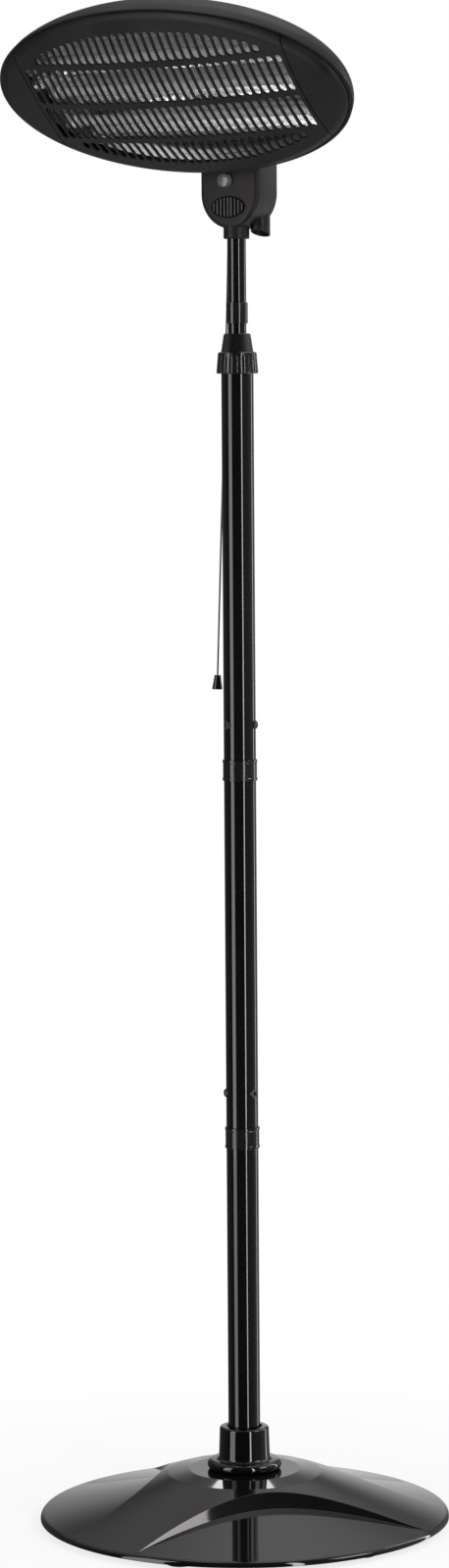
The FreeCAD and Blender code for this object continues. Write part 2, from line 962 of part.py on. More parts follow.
def make_pull_cord():
    """Round tube along straight runs joined by the widest arcs that the runs allow."""
    points = cord_points()
    edges = []
    here = points[0]
    for before, corner, after in zip(points, points[1:], points[2:]):
        back = before - corner
        ahead = after - corner
        turn = math.pi - back.getAngle(ahead)
        trim = cord_bend_share * min(back.Length, ahead.Length)
        bend = trim / math.tan(turn / 2)
        print("cord bend radius %.0f mm" % bend)
        start = corner + back.normalize() * trim
        end = corner + ahead.normalize() * trim
        inward = (back + ahead).normalize()
        middle = corner + inward * (bend / math.cos(turn / 2) - bend)
        edges.append(Part.LineSegment(here, start).toShape())
        edges.append(Part.Arc(start, middle, end).toShape())
        here = end
    edges.append(Part.LineSegment(here, points[-1]).toShape())
    path = Part.Wire(edges)
    section = Part.Wire([Part.makeCircle(cord_diameter / 2, points[0], points[1] - points[0])])
    tube = path.makePipeShell([section], True, False)
    plain = math.pi * cord_diameter ** 2 / 4 * path.Length
    print("cord length %.1f mm, volume over section times length %.4f" % (path.Length, tube.Volume / plain))
    return tube


def make_cord_knob():
    points = cord_points()
    waist_height = (knob_neck + knob_length) / 2
    lip_corner = knob_lip * (1 - math.sqrt(0.5))
    lip_middle = (knob_bottom_radius - lip_corner, knob_length - lip_corner)
    bell = turned([
        (0, 0),
        (knob_top_radius - knob_edge, 0),
        (knob_top_radius, knob_edge),
        (knob_top_radius, knob_neck),
        ((knob_waist_radius, waist_height), (knob_bottom_radius, knob_length - knob_lip)),
        (lip_middle, (knob_bottom_radius - knob_lip, knob_length)),
        (0, knob_length),
    ])
    return placed(bell, points[-1], points[-1] - points[-2])


# Head, each piece in the head's own frame

def make_rear_shell():
    rim = head_half_height
    inner = rim - shell_wall
    ledge_in = rim - shell_wall - ledge_width
    ledge_low = -ledge_depth - ledge_thickness
    wall_in = inner - rim_draft
    shell = oval(turned([
        (rim, 0),
        (rim - rim_draft, -rim_wall_depth),
        ((shell_bulge_radius, -shell_bulge_depth), (back_radius, -back_depth)),
        (0, -back_depth),
        (0, shell_wall - back_depth),
        (back_radius - shell_wall / 2, shell_wall - back_depth),
        ((shell_bulge_radius - shell_wall, shell_wall / 2 - shell_bulge_depth), (wall_in, -rim_wall_depth)),
        (wall_in, ledge_low),
        (ledge_in, ledge_low),
        (ledge_in, -ledge_depth),
        (inner, -ledge_depth),
        (inner, 0),
    ]))
    for index in range(vent_rows):
        y = vent_first + index * vent_pitch
        slot = long_hole(-vent_half_length, vent_half_length, vent_width, flat_xy)
        vent = Part.Face(slot).extrude(Vector(0, 0, 2 * shell_wall))
        vent.translate(Vector(0, y, -back_depth - shell_wall / 2))
        shell = shell.cut(vent)
    for point in bracket_screw_points(-back_depth - cut_margin):
        shell = shell.cut(Part.makeCylinder(small_screw + glued_gap, shell_wall + 2 * cut_margin, point, up))
    return shell


def long_hole(low, high, width, place):
    """Wire of a round-ended slot, running from low to high along the first flat axis."""
    half = width / 2
    return outline(
        [
            (low + half, -half),
            (high - half, -half),
            ((high, 0), (high - half, half)),
            (low + half, half),
            ((low, 0), (low + half, -half)),
        ],
        place,
    )


def front_cap():
    """The whole domed front, before it is split into its three pieces."""
    rim = front_radius
    shoulder = rim - front_shoulder
    half = shoulder / 2
    crown_half = front_crown - (front_crown - front_shoulder_rise) / 4
    in_shoulder = shoulder - front_shoulder_step
    in_rise = front_shoulder_rise - front_wall
    in_crown = front_crown - front_wall
    return oval(turned([
        (rim - front_lip, -ledge_depth),
        (rim, -ledge_depth),
        (rim, front_edge_rise),
        ((rim - front_corner_in, front_corner_rise), (shoulder, front_shoulder_rise)),
        ((half, crown_half), (0, front_crown)),
        (0, in_crown),
        ((half, crown_half - front_wall), (in_shoulder, in_rise)),
        (rim - front_lip, 0),
    ]))


def seam_line(side, gap):
    """Three (x, y) points of a bowed seam, moved outwards by a gap."""
    ends = side * (seam_half_width + seam_flare + gap)
    middle = side * (seam_half_width + gap)
    return (ends, -head_half_height), (middle, 0), (ends, head_half_height)


def slot_rows():
    """Low and high end of each row of slots on the grille's centre line, from the bottom row up."""
    gap = crossbar / 2
    edge = gap + slot_row_height
    return [
        (-window_half_height, -edge - crossbar),
        (-edge, -gap),
        (gap, edge),
        (edge + crossbar, window_half_height),
    ]


def grille_slots():
    """Wires of all the slots: upright, round-ended, cut short by the oval window."""
    wires = []
    for column in range(slot_columns):
        x = (column - (slot_columns - 1) / 2) * slot_pitch
        reach = window_half_height * math.sqrt(1 - (x / window_half_width) ** 2)
        for low, high in slot_rows():
            low = max(low, -reach)
            high = min(high, reach)
            if high - low < shortest_slot:
                continue
            wire = long_hole(low, high, slot_width, lambda along, across: Vector(x + across, along, 0))
            wires.append(wire)
    return wires


def make_front_panel(cap):
    """Centre of the front with the slotted grille."""
    low_left, mid_left, top_left = seam_line(-1, -seam_gap / 2)
    low_right, mid_right, top_right = seam_line(1, -seam_gap / 2)
    border = outline([low_left, low_right, (mid_right, top_right), top_left, (mid_left, low_left)], flat_xy)
    sheet = Part.makeFace([border] + grille_slots(), "Part::FaceMakerBullseye")
    sheet.translate(Vector(0, 0, -2 * ledge_depth))
    return cap.common(sheet.extrude(Vector(0, 0, 2 * front_crown)))


def make_wing(cap, side):
    """Plain end of the front, outside a seam."""
    low, middle, top = seam_line(side, seam_gap / 2)
    far = side * (head_half_width + seam_gap)
    block = extruded(
        [low, (middle, top), (far, head_half_height), (far, -head_half_height)],
        flat_xy,
        Vector(0, 0, 2 * front_crown),
    )
    block.translate(Vector(0, 0, -2 * ledge_depth))
    return cap.common(block)


def over_troughs(lift):
    """Solid in front of the reflector's three troughs, raised by a lift."""
    half = trough_pitch / 2
    crest = trough_crest + lift
    bottom = trough_bottom + lift
    edge = 1.5 * trough_pitch
    steps = [(-head_half_height, 0), (-head_half_height, crest), (-edge, crest)]
    for index in (-1, 0, 1):
        centre = index * trough_pitch
        steps.append(((centre, bottom), (centre + half, crest)))
    steps += [(head_half_height, crest), (head_half_height, 0)]
    block = extruded(steps, flat_yz, Vector(2 * head_half_width, 0, 0))
    block.translate(Vector(-head_half_width, 0, 0))
    return block


def oval_prism(radius, bottom, top):
    return oval(Part.makeCylinder(radius, top - bottom, Vector(0, 0, bottom), up))


def make_reflector():
    """Polished dish: three troughs, a rim wall and a flange under the shell's ledge."""
    top = -ledge_depth - ledge_thickness
    outer = oval_prism(reflector_radius, -back_depth, top).common(over_troughs(0))
    inner_radius = reflector_radius - reflector_sheet
    inner = oval_prism(inner_radius, -back_depth, top).common(over_troughs(reflector_sheet))
    flange = oval_prism(reflector_flange, top - reflector_sheet, top)
    flange = flange.cut(oval_prism(inner_radius, -back_depth, top))
    return outer.cut(inner).fuse(flange).removeSplitter()


def tube_line(index, start, end):
    """Ends of a run along x on the axis of one heating tube."""
    y = index * tube_pitch
    return Vector(start, y, -quartz_depth), Vector(end, y, -quartz_depth)


def make_quartz_tube(index):
    start, end = tube_line(index, -quartz_half_length, quartz_half_length)
    return rod(quartz_radius, start, end).cut(rod(quartz_radius - quartz_wall, start, end))


def make_heating_coils():
    coils = []
    for index in (-1, 0, 1):
        start, end = tube_line(index, -quartz_half_length, quartz_half_length)
        coils.append(rod(coil_radius, start, end))
    return Part.makeCompound(coils)


def make_ceramic_caps():
    caps = []
    inside = quartz_half_length - cap_grip
    for side in (-1, 1):
        for index in (-1, 0, 1):
            start, end = tube_line(index, side * inside, side * (inside + cap_length))
            tube_end = tube_line(index, 0, side * quartz_half_length)[1]
            cap = rod(cap_radius, start, end).cut(rod(quartz_radius + glued_gap, start, tube_end))
            caps.append(cap)
    return Part.makeCompound(caps)


def make_tube_holder(side):
    """Upright sheet that stands on the troughs and carries the caps at one end."""
    depth = quartz_depth - trough_bottom
    sheet = Part.makeBox(holder_sheet, 2 * holder_half_height, depth)
    sheet.translate(Vector(side * holder_x - holder_sheet / 2, -holder_half_height, holder_front - depth))
    sheet = sheet.common(over_troughs(reflector_sheet + glued_gap))
    for index in (-1, 0, 1):
        start, end = tube_line(index, side * (holder_x - holder_bore), side * (holder_x + holder_bore))
        sheet = sheet.cut(rod(cap_radius + glued_gap, start, end))
    return sheet


def bracket_screw_points(z):
    return [Vector(side * bracket_screw_x, y, z) for side in (-1, 1) for y in bracket_screw_rows]


def make_tilt_bracket():
    """Steel bracket on the shell's back with an arm down each side of the neck."""
    face = -back_depth
    half = arm_inner + arm_thickness
    web = Part.makeBox(2 * half, bracket_web_top - bracket_web_bottom, bracket_web)
    web.translate(Vector(-half, bracket_web_bottom, face - bracket_web))
    arm_steps = [
        (bracket_web_top, face),
        (bracket_bend, face),
        (-pivot_drop, arm_end_radius - pivot_depth),
        ((-pivot_drop - arm_end_radius, -pivot_depth), (-pivot_drop, -pivot_depth - arm_end_radius)),
        (bracket_web_bottom, face - bracket_arm_belly),
        (bracket_web_top, face - bracket_arm_depth),
    ]
    bracket = web
    for start in (-half, arm_inner):
        arm = extruded(arm_steps, flat_yz, Vector(arm_thickness, 0, 0))
        arm.translate(Vector(start, 0, 0))
        bracket = bracket.fuse(arm)
    pivot = Vector(0, -pivot_drop, -pivot_depth)
    reach = Vector(half + cut_margin, 0, 0)
    bracket = bracket.cut(rod(tilt_screw_radius + running_gap, pivot - reach, pivot + reach))
    through_web = bracket_web + 2 * cut_margin
    for point in bracket_screw_points(face - bracket_web - cut_margin):
        bracket = bracket.cut(Part.makeCylinder(small_screw + glued_gap, through_web, point, up))
    return bracket.removeSplitter()


def make_bracket_screws():
    length = bracket_web + shell_wall + bracket_screw_end
    one = screw(small_screw, length, small_head, small_head_height)
    points = bracket_screw_points(-back_depth - bracket_web)
    return Part.makeCompound([placed(one, point, -up) for point in points])


def make_parts():
    lower = make_tube(tube_bottom, lower_tube_length)
    middle = make_tube(lower_collar + collar_height, middle_tube_length)
    upper = make_tube(upper_collar + collar_height, upper_tube_length)
    outside = neck_outside()
    cap = front_cap()
    parts = {
        "base_cover": make_base_cover(),
        "base_weight": make_base_weight(),
        "base_plate": make_base_plate(),
        "base_feet": make_base_feet(),
        "plate_screws": make_plate_screws(),
        "mast_socket": make_mast_socket(),
        "socket_screws": make_socket_screws(),
        "lower_tube": lower,
        "lower_joint": make_joint(lower_collar, lower_screw_angle),
        "middle_tube": drill_joint_screws(middle, lower_collar, lower_screw_angle),
        "upper_joint": make_joint(upper_collar, upper_screw_angle),
        "upper_tube": drill_joint_screws(upper, upper_collar, upper_screw_angle),
        "joint_screws": make_joint_screws(),
        "clamp_body": make_clamp_body(),
        "clamp_nut": make_clamp_nut(),
        "guide_bush": make_guide_bush(),
        "inner_tube": make_inner_tube(),
        "stop_sleeve": make_stop_sleeve(),
        "neck_socket": make_neck_socket(),
        "neck_front_cover": make_neck_front(outside),
        "neck_rear_cover": make_neck_rear(outside),
        "cover_screws": make_cover_screws(),
        "indicator_lens": make_indicator_lens(),
        "badge_plate": make_badge_plate(),
        "cable_gland": make_cable_gland(),
        "terminal_block": make_terminal_block(),
        "pull_switch": make_pull_switch(),
        "switch_plunger": make_switch_plunger(),
        "cord_guide": make_cord_guide(),
        "tilt_screws": make_tilt_screws(),
        "tilt_washers": make_tilt_washers(),
        "pull_cord": make_pull_cord(),
        "cord_knob": make_cord_knob(),
        "rear_shell": in_head(make_rear_shell()),
        "front_panel": in_head(make_front_panel(cap)),
        "left_wing": in_head(make_wing(cap, -1)),
        "right_wing": in_head(make_wing(cap, 1)),
        "reflector": in_head(make_reflector()),
        "quartz_tube_lower": in_head(make_quartz_tube(-1)),
        "quartz_tube_middle": in_head(make_quartz_tube(0)),
        "quartz_tube_upper": in_head(make_quartz_tube(1)),
        "heating_coils": in_head(make_heating_coils()),
        "ceramic_caps": in_head(make_ceramic_caps()),
        "left_tube_holder": in_head(make_tube_holder(-1)),
        "right_tube_holder": in_head(make_tube_holder(1)),
        "tilt_bracket": in_head(make_tilt_bracket()),
        "bracket_screws": in_head(make_bracket_screws()),
    }
    return parts


os.makedirs("parts", exist_ok=True)
for name, shape in make_parts().items():
    shape.exportStep("parts/" + name + ".step")
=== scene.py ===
import json
import math

import bpy
from bpy.props import FloatProperty, FloatVectorProperty, IntProperty, PointerProperty
from mathutils import Matrix, Vector


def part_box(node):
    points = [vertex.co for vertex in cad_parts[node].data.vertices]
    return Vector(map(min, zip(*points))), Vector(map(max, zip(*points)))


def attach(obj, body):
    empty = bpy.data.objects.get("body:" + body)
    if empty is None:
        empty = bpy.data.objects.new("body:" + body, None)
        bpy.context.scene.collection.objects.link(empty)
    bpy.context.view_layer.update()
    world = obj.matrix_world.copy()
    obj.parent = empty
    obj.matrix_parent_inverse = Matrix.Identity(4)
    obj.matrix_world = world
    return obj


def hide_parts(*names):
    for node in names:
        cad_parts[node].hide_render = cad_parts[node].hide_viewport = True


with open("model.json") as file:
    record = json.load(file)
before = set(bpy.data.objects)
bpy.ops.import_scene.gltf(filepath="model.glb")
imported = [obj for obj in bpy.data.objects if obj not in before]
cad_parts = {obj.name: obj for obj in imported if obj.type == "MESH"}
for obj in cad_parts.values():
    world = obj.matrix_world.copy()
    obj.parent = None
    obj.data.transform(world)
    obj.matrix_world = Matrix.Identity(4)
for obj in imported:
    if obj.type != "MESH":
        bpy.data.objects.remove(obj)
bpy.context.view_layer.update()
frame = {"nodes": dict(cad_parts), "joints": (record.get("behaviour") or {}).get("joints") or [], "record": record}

bl_info = {
    "name": "Quartz Patio Heater",
    "version": (1, 0, 0),
    "blender": (4, 5, 0),
    "location": "View3D > Sidebar > Heater",
    "description": "Models the visible pieces of a free-standing quartz patio heater round its packed frame",
    "category": "Object",
}

# The frame's tilt axis and colours, and the head's place from them, in metres

tilt_joint = next(joint for joint in frame["joints"] if joint["name"] == "head_tilt")
tilt_axis = Vector(tilt_joint["pos_m"])
slot_colours = {slot["slot"]: slot["base_color"][:3] for slot in frame["record"]["materials"]}
tilt_at_rest = math.radians(45)
tilt_axis_below = 0.118
tilt_axis_behind = 0.067
quarter_turn = math.pi / 2
head_turn = Matrix.Rotation(quarter_turn + tilt_at_rest, 4, "X")
head_centre = tilt_axis + head_turn @ Vector((0, tilt_axis_below, tilt_axis_behind))
head_place = Matrix.Translation(head_centre) @ head_turn

# Base

cover_bore = 0.018
cover_wall = 0.0025
plateau_height = 0.064
plateau_radius = 0.066
bevel_radius = 0.092
bevel_height = 0.060
rim_top = 0.013
rim_round = 0.006
rim_bottom = 0.006
base_radius = 0.245
slope_radius = base_radius - rim_round
underside_radius = 0.237
scallop_count = 3
scallop_angle = math.radians(51)
scallop_ridge = 0.100
scallop_sweep = 0.475
scallop_lean = math.tan(math.radians(31))
scallop_floor_height = 0.042
base_sides = 288
foot_radius = 0.017
foot_circle = 0.214
foot_count = 6
first_foot = math.radians(15)
socket_bore = 0.01905
socket_mouth = 0.0215
socket_barrel = 0.0305
socket_barrel_top = 0.0295
flange_height = 0.012

# Mast and clamp

tube_wall = 0.0012
tube_edge = 0.0003
collar_half_height = 0.0125
collar_waist_depth = 0.0005
collar_lip = 0.0032
joint_screw_count = 3
joint_screw_rise = collar_half_height + 0.0415
first_joint_screw = {"lower_joint": math.radians(79.4), "upper_joint": math.radians(-13.6)}
screw_radius = 0.0052
screw_height = 0.003
screw_drive = 0.0016
nut_ring_height = 0.0252
nut_ring_taper = 0.0017
nut_bore = 0.0214
nut_post_bore = 0.01135
cone_foot = 0.01895
cone_top = 0.01595
flute_roundness = 0.3

# Neck

lens_radius = 0.0084
lens_face = 0.0072
lens_crown = 0.0008
plate_border = 0.0015
plate_rib_pitch = 0.005
plate_rib_height = 0.0009

# Head, in its own frame: x across, y up the face, z out of the face, rim at z = 0

head_half_width = 0.242
head_half_height = 0.125
head_stretch = head_half_width / head_half_height
shell_wall = 0.0025
rim_lip = 0.004
rim_edge = 0.0007
rim_wall_depth = 0.009
rim_draft = 0.001
shell_bulge = (0.109, -0.038)
back_radius = 0.062
back_depth = 0.060
vent_count = 4
vent_pitch = 0.009
first_vent = 0.012
vent_half_length = 0.042
vent_width = 0.004
front_radius = 0.1222
front_tuck = 0.0035
front_edge_rise = 0.0005
front_shoulder = 0.009
front_shoulder_rise = 0.007
front_crown = 0.021
front_wall = 0.0025
through_front = (-0.02, 0.04)
seam_half_width = 0.1865
seam_flare = 0.005
seam_gap = 0.0014
seam_overrun = 1.02
slot_columns = 32
crossbar = 0.0065
slot_row_height = 0.050
window_half_width = 0.218
window_half_height = 0.100
shortest_slot = 0.011
head_sides = 192

# Heating element, in the head's frame

reflector_radius = 0.109
reflector_flange = 0.1165
reflector_sheet = 0.0008
reflector_top = -0.006
trough_pitch = 0.048
trough_crest = -0.015
trough_bottom = -0.029
tube_pitch = 0.046
tube_depth = 0.0125
tube_half_length = 0.170
quartz_bore = 0.0051
quartz_radius = 0.006
coil_radius = 0.0036
coil_share = 0.94

# Pull cord: x, y and z of the route's points, and the knob on its end

cord_points = [
    (-0.0227, 0.0159, 1.5903),
    (-0.0227, 0.0159, 1.5383),
    (-0.0266, 0.0143, 1.3933),
    (-0.0318, 0.0101, 1.1933),
    (-0.0356, 0.0056, 1.0148),
]
cord_diameter = 0.002
knob_top = 0.0040
knob_foot = 0.0062
knob_length = 0.017

# Camera, found from the picture's frame of 458 by 1600 pixels

picture_height = 1600
focal_pixels = 4600
sensor_height = 36.0
camera_azimuth = math.radians(35.75)
camera_pitch = math.radians(5.009)
camera_roll = math.radians(-0.396)
camera_height = 1.3529
camera_distance = 5.3141
camera_left_of_mast = 0.0184
away = Vector((-math.sin(camera_azimuth), math.cos(camera_azimuth), 0))
rightwards = Vector((math.cos(camera_azimuth), math.sin(camera_azimuth), 0))

# Lamps: degrees round from the camera, distance, height, height of the aim, width, length

lamps = {
    "side_strip": (-56, 2.6, 1.4, 1.4, 1.15, 2.8),
    "front_strip": (28, 3.0, 1.4, 1.4, 0.32, 2.8),
    "rear_strip": (117, 2.6, 1.4, 1.4, 0.2, 2.8),
    "top_light": (180, 0.3, 3.4, 0.0, 2.0, 2.0),
    "back_light": (180, 3.45, 2.07, 0.06, 0.5, 0.36),
    "right_light": (69, 4.0, 3.15, 0.06, 1.8, 1.2),
}

# Ramps of the studio that a gloss sees: two ends along a direction, then the brightness at each

ceiling_upwards = (0.35, 0.7, 0.2, 0.85)
ceiling_backwards = (-0.4, 0.2, 0.05, 1.0)
backdrop_sideways = (0.05, 0.4, 0.75, 0.0)
backdrop_upwards = (0.2, 0.45, 1.0, 0.1)
backdrop_backwards = (0.0, 0.5, 0.0, 1.0)
shade_on_the_left = (-0.16, 0.06, 0.58, 1.0)
wall_on_the_right = (0.3, 0.8, 0.0, 0.2)
floor_outwards = (0.25, 0.8, 0.8, 1.0)
floor_colour = (0.9, 0.9, 0.9, 1)
floor_polish = (0.8, 0.8, 0.8, 1)

# Faint warm tint of the light that black surfaces throw back

warm_black = (1.0, 0.93, 0.985, 1.0)


# Modelling helpers

def sizes():
    """The sizes set in the panel."""
    return bpy.context.scene.heater_sizes


def tint(name):
    """A colour set in the panel."""
    return getattr(bpy.context.scene.heater_colours, name)


def linked(name, data):
    """New object in the scene for a mesh, a curve, a lamp or a camera."""
    thing = bpy.data.objects.new(name, data)
    bpy.context.scene.collection.objects.link(thing)
    return thing


def only(piece):
    """Select one piece alone and make it the active one."""
    bpy.ops.object.select_all(action="DESELECT")
    piece.hide_set(False)
    piece.select_set(True)
    bpy.context.view_layer.objects.active = piece
    return piece


def settled(piece):
    """Move an object's place into its mesh and leave the object at the origin."""
    only(piece)
    bpy.ops.object.transform_apply(location=True, rotation=True, scale=True)
    return piece


def put(piece, place):
    """Move a piece by a matrix."""
    piece.matrix_world = place
    return settled(piece)


def edited(piece, *steps):
    """Run mesh operators on all of a piece in edit mode; a step is an operator and its options."""
    only(piece)
    bpy.ops.object.mode_set(mode="EDIT")
    for operator, options in steps:
        bpy.ops.mesh.select_all(action="SELECT")
        operator(**options)
    bpy.ops.object.mode_set(mode="OBJECT")
    return piece


def faced_outwards(piece):
    return edited(piece, (bpy.ops.mesh.normals_make_consistent, {"inside": False}))


def circle(name, sides, radius, **place):
    """Ring of edges."""
    bpy.ops.object.select_all(action="DESELECT")
    bpy.ops.mesh.primitive_circle_add(vertices=sides, radius=radius, **place)
    piece = bpy.context.object
    piece.name = name
    return settled(piece)


def turned(name, steps, sides, end="open"):
    """Turn (radius, height) steps about Z, ring by ring, from a circle.

    The end is open, joined back to the first ring, filled flat at both ends, or drawn to a point."""
    radius, height = steps[0]
    piece = circle(name, sides, radius, location=(0, 0, height))
    bpy.ops.object.mode_set(mode="EDIT")
    bpy.ops.mesh.select_all(action="SELECT")
    for next_radius, next_height in steps[1:]:
        bpy.ops.mesh.extrude_region_move(TRANSFORM_OT_translate={"value": (0, 0, next_height - height)})
        grow = next_radius / radius
        bpy.ops.transform.resize(value=(grow, grow, 1), center_override=(0, 0, 0))
        radius, height = next_radius, next_height
    if end == "point":
        bpy.ops.mesh.merge(type="CENTER")
    bpy.ops.mesh.select_all(action="SELECT")
    if end == "joined":
        bpy.ops.mesh.remove_doubles(threshold=1e-6)
    if end == "filled":
        bpy.ops.mesh.fill_holes(sides=0)
    bpy.ops.mesh.normals_make_consistent(inside=False)
    bpy.ops.object.mode_set(mode="OBJECT")
    return piece


def ring_steps(inner, outer, low, high, hold=0.001):
    """Steps of a plain ring, back to the start; one more near each end keeps the shading straight."""
    return [(inner, low), (outer, low), (outer, low + hold), (outer, high - hold), (outer, high),
            (inner, high), (inner, low)]


def arc_steps(start, middle, end, count):
    """Points after the start on the circle through three (radius, height) points."""
    (ax, ay), (bx, by), (cx, cy) = start, middle, end
    twice = 2 * (ax * (by - cy) + bx * (cy - ay) + cx * (ay - by))
    a2, b2, c2 = ax * ax + ay * ay, bx * bx + by * by, cx * cx + cy * cy
    ox = (a2 * (by - cy) + b2 * (cy - ay) + c2 * (ay - by)) / twice
    oy = (a2 * (cx - bx) + b2 * (ax - cx) + c2 * (bx - ax)) / twice
    radius = math.hypot(ax - ox, ay - oy)
    first = math.atan2(ay - oy, ax - ox)
    last = math.atan2(cy - oy, cx - ox)
    sweep = math.remainder(last - first, 2 * math.pi)
    turns = [first + sweep * index / count for index in range(1, count + 1)]
    return [(ox + radius * math.cos(turn), oy + radius * math.sin(turn)) for turn in turns]


def corner_steps(start, corner, end, count):
    """Points after the start on a round that cuts off a corner."""
    share = 0.3
    middle = [c + share * (s - c) + share * (e - c) for s, c, e in zip(start, corner, end)]
    return arc_steps(start, middle, end, count)


def applied(piece, kind, **settings):
    """Add a modifier, set it and apply it."""
    only(piece)
    bpy.ops.object.modifier_add(type=kind)
    modifier = piece.modifiers[-1]
    for setting, value in settings.items():
        setattr(modifier, setting, value)
    bpy.ops.object.modifier_apply(modifier=modifier.name)
    return piece


def smoothed(piece, angle=35):
    only(piece)
    bpy.ops.object.shade_smooth_by_angle(angle=math.radians(angle))
    return piece


def rounded(piece, width, angle=30, segments=3):
    """Round the edges that are sharper than an angle, and shade the piece smooth."""
    applied(piece, "BEVEL", width=width, segments=segments, limit_method="ANGLE",
            angle_limit=math.radians(angle), use_clamp_overlap=True)
    return smoothed(piece)


def joined(name, pieces):
    """Join several pieces into one."""
    bpy.ops.object.select_all(action="DESELECT")
    for piece in pieces:
        piece.select_set(True)
    bpy.context.view_layer.objects.active = pieces[0]
    if len(pieces) > 1:
        bpy.ops.object.join()
    pieces[0].name = name
    return pieces[0]


def removed(piece):
    bpy.data.objects.remove(piece, do_unlink=True)


def repeated(name, piece, places):
    """One piece made of copies of another, which is used up, moved by matrices."""
    copies = [put(linked(piece.name, piece.data.copy()), place) for place in places]
    removed(piece)
    return joined(name, copies)


def prism(name, outline, low, high):
    """Upright prism on a flat (x, y) outline."""
    mesh = bpy.data.meshes.new(name)
    mesh.from_pydata([(x, y, low) for x, y in outline], [], [list(range(len(outline)))])
    piece = applied(linked(name, mesh), "SOLIDIFY", thickness=high - low, offset=1.0)
    bottom = min(vertex.co.z for vertex in piece.data.vertices)
    put(piece, Matrix.Translation((0, 0, low - bottom)))
    return faced_outwards(piece)


def cut(piece, cutter, operation="DIFFERENCE"):
    """Boolean a piece with a cutter, which is used up."""
    applied(piece, "BOOLEAN", object=cutter, operation=operation, solver="EXACT")
    removed(cutter)
    return piece


def from_node(node, name):
    """A smooth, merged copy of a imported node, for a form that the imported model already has."""
    piece = linked(name, frame["nodes"][node].data.copy())
    piece.data.materials.clear()
    edited(piece, (bpy.ops.mesh.customdata_custom_splitnormals_clear, {}),
           (bpy.ops.mesh.remove_doubles, {"threshold": 1e-6}))
    return smoothed(piece)


def dressed(piece, material, body, node):
    """Give a piece its finish and its body, and hide the imported node that it stands for."""
    piece.data.materials.clear()
    piece.data.materials.append(material)
    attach(piece, body)
    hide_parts(node)
    return piece


def along(direction, start):
    """Matrix that turns +Z to a direction and moves the origin to a start."""
    return Matrix.Translation(start) @ Vector(direction).to_track_quat("Z", "Y").to_matrix().to_4x4()


def outward(angle, radius, height):
    """Point and outward direction round the mast; the angle is from the front, -Y, towards +X."""
    direction = Vector((math.sin(angle), -math.cos(angle), 0))
    return direction * radius + Vector((0, 0, height)), direction


# Shader nodes

def set_inputs(tree, node, inputs):
    """Set a node's inputs to plain values, or link them from other nodes' sockets."""
    for socket, value in inputs.items():
        if isinstance(value, bpy.types.NodeSocket):
            tree.links.new(value, node.inputs[socket])
        else:
            node.inputs[socket].default_value = value


def add_node(tree, kind, inputs, **settings):
    """New node with its settings and inputs; its outputs are returned."""
    node = tree.nodes.new(kind)
    for setting, value in settings.items():
        setattr(node, setting, value)
    set_inputs(tree, node, inputs)
    return node.outputs


def mapped(tree, source, ramp, interpolation="SMOOTHSTEP"):
    """Ramp of a value, level outside its two ends."""
    inputs = dict(zip(("From Min", "From Max", "To Min", "To Max"), ramp))
    inputs["Value"] = source
    return add_node(tree, "ShaderNodeMapRange", inputs, interpolation_type=interpolation)["Result"]


def combined(tree, operation, *sources):
    """One value from several, by repeated adding, multiplying or taking the larger."""
    result = sources[0]
    for source in sources[1:]:
        result = add_node(tree, "ShaderNodeMath", {0: result, 1: source}, operation=operation)[0]
    return result


# Finishes

def surface_group():
    """Colour, roughness and height that vary over a surface: broad patches and a fine grain."""
    name = "Fine surface"
    if name in bpy.data.node_groups:
        return bpy.data.node_groups[name]
    tree = bpy.data.node_groups.new(name, "ShaderNodeTree")
    sockets = {
        "INPUT": {"Colour": "Color", "Second Colour": "Color", "Roughness": "Float", "Rougher": "Float",
                  "Patch Scale": "Float", "Grain Scale": "Float", "Stretch": "Vector"},
        "OUTPUT": {"Colour": "Color", "Roughness": "Float", "Height": "Float"},
    }
    for way, kinds in sockets.items():
        for socket, kind in kinds.items():
            tree.interface.new_socket(name=socket, in_out=way, socket_type="NodeSocket" + kind)
    given = add_node(tree, "NodeGroupInput", {})
    place = add_node(tree, "ShaderNodeTexCoord", {})["Object"]
    place = add_node(tree, "ShaderNodeVectorMath", {0: place, 1: given["Stretch"]}, operation="MULTIPLY")[0]
    patches = {"Vector": place, "Scale": given["Patch Scale"], "Detail": 3}
    grain = {"Vector": place, "Scale": given["Grain Scale"], "Detail": 2}
    share = add_node(tree, "ShaderNodeTexNoise", patches)["Fac"]
    height = add_node(tree, "ShaderNodeTexNoise", grain)["Fac"]
    share = mapped(tree, share, (0.35, 0.65, 0.0, 1.0), "LINEAR")
    colours = {"Factor": share, 6: given["Colour"], 7: given["Second Colour"]}
    roughs = {"Factor": share, 2: given["Roughness"], 3: given["Rougher"]}
    colour = add_node(tree, "ShaderNodeMix", colours, data_type="RGBA")[2]
    rough = add_node(tree, "ShaderNodeMix", roughs)[0]
    add_node(tree, "NodeGroupOutput", {"Colour": colour, "Roughness": rough, "Height": height})
    return tree


def lighter(colour, factor):
    return tuple(min(1.0, part * factor) for part in colour)


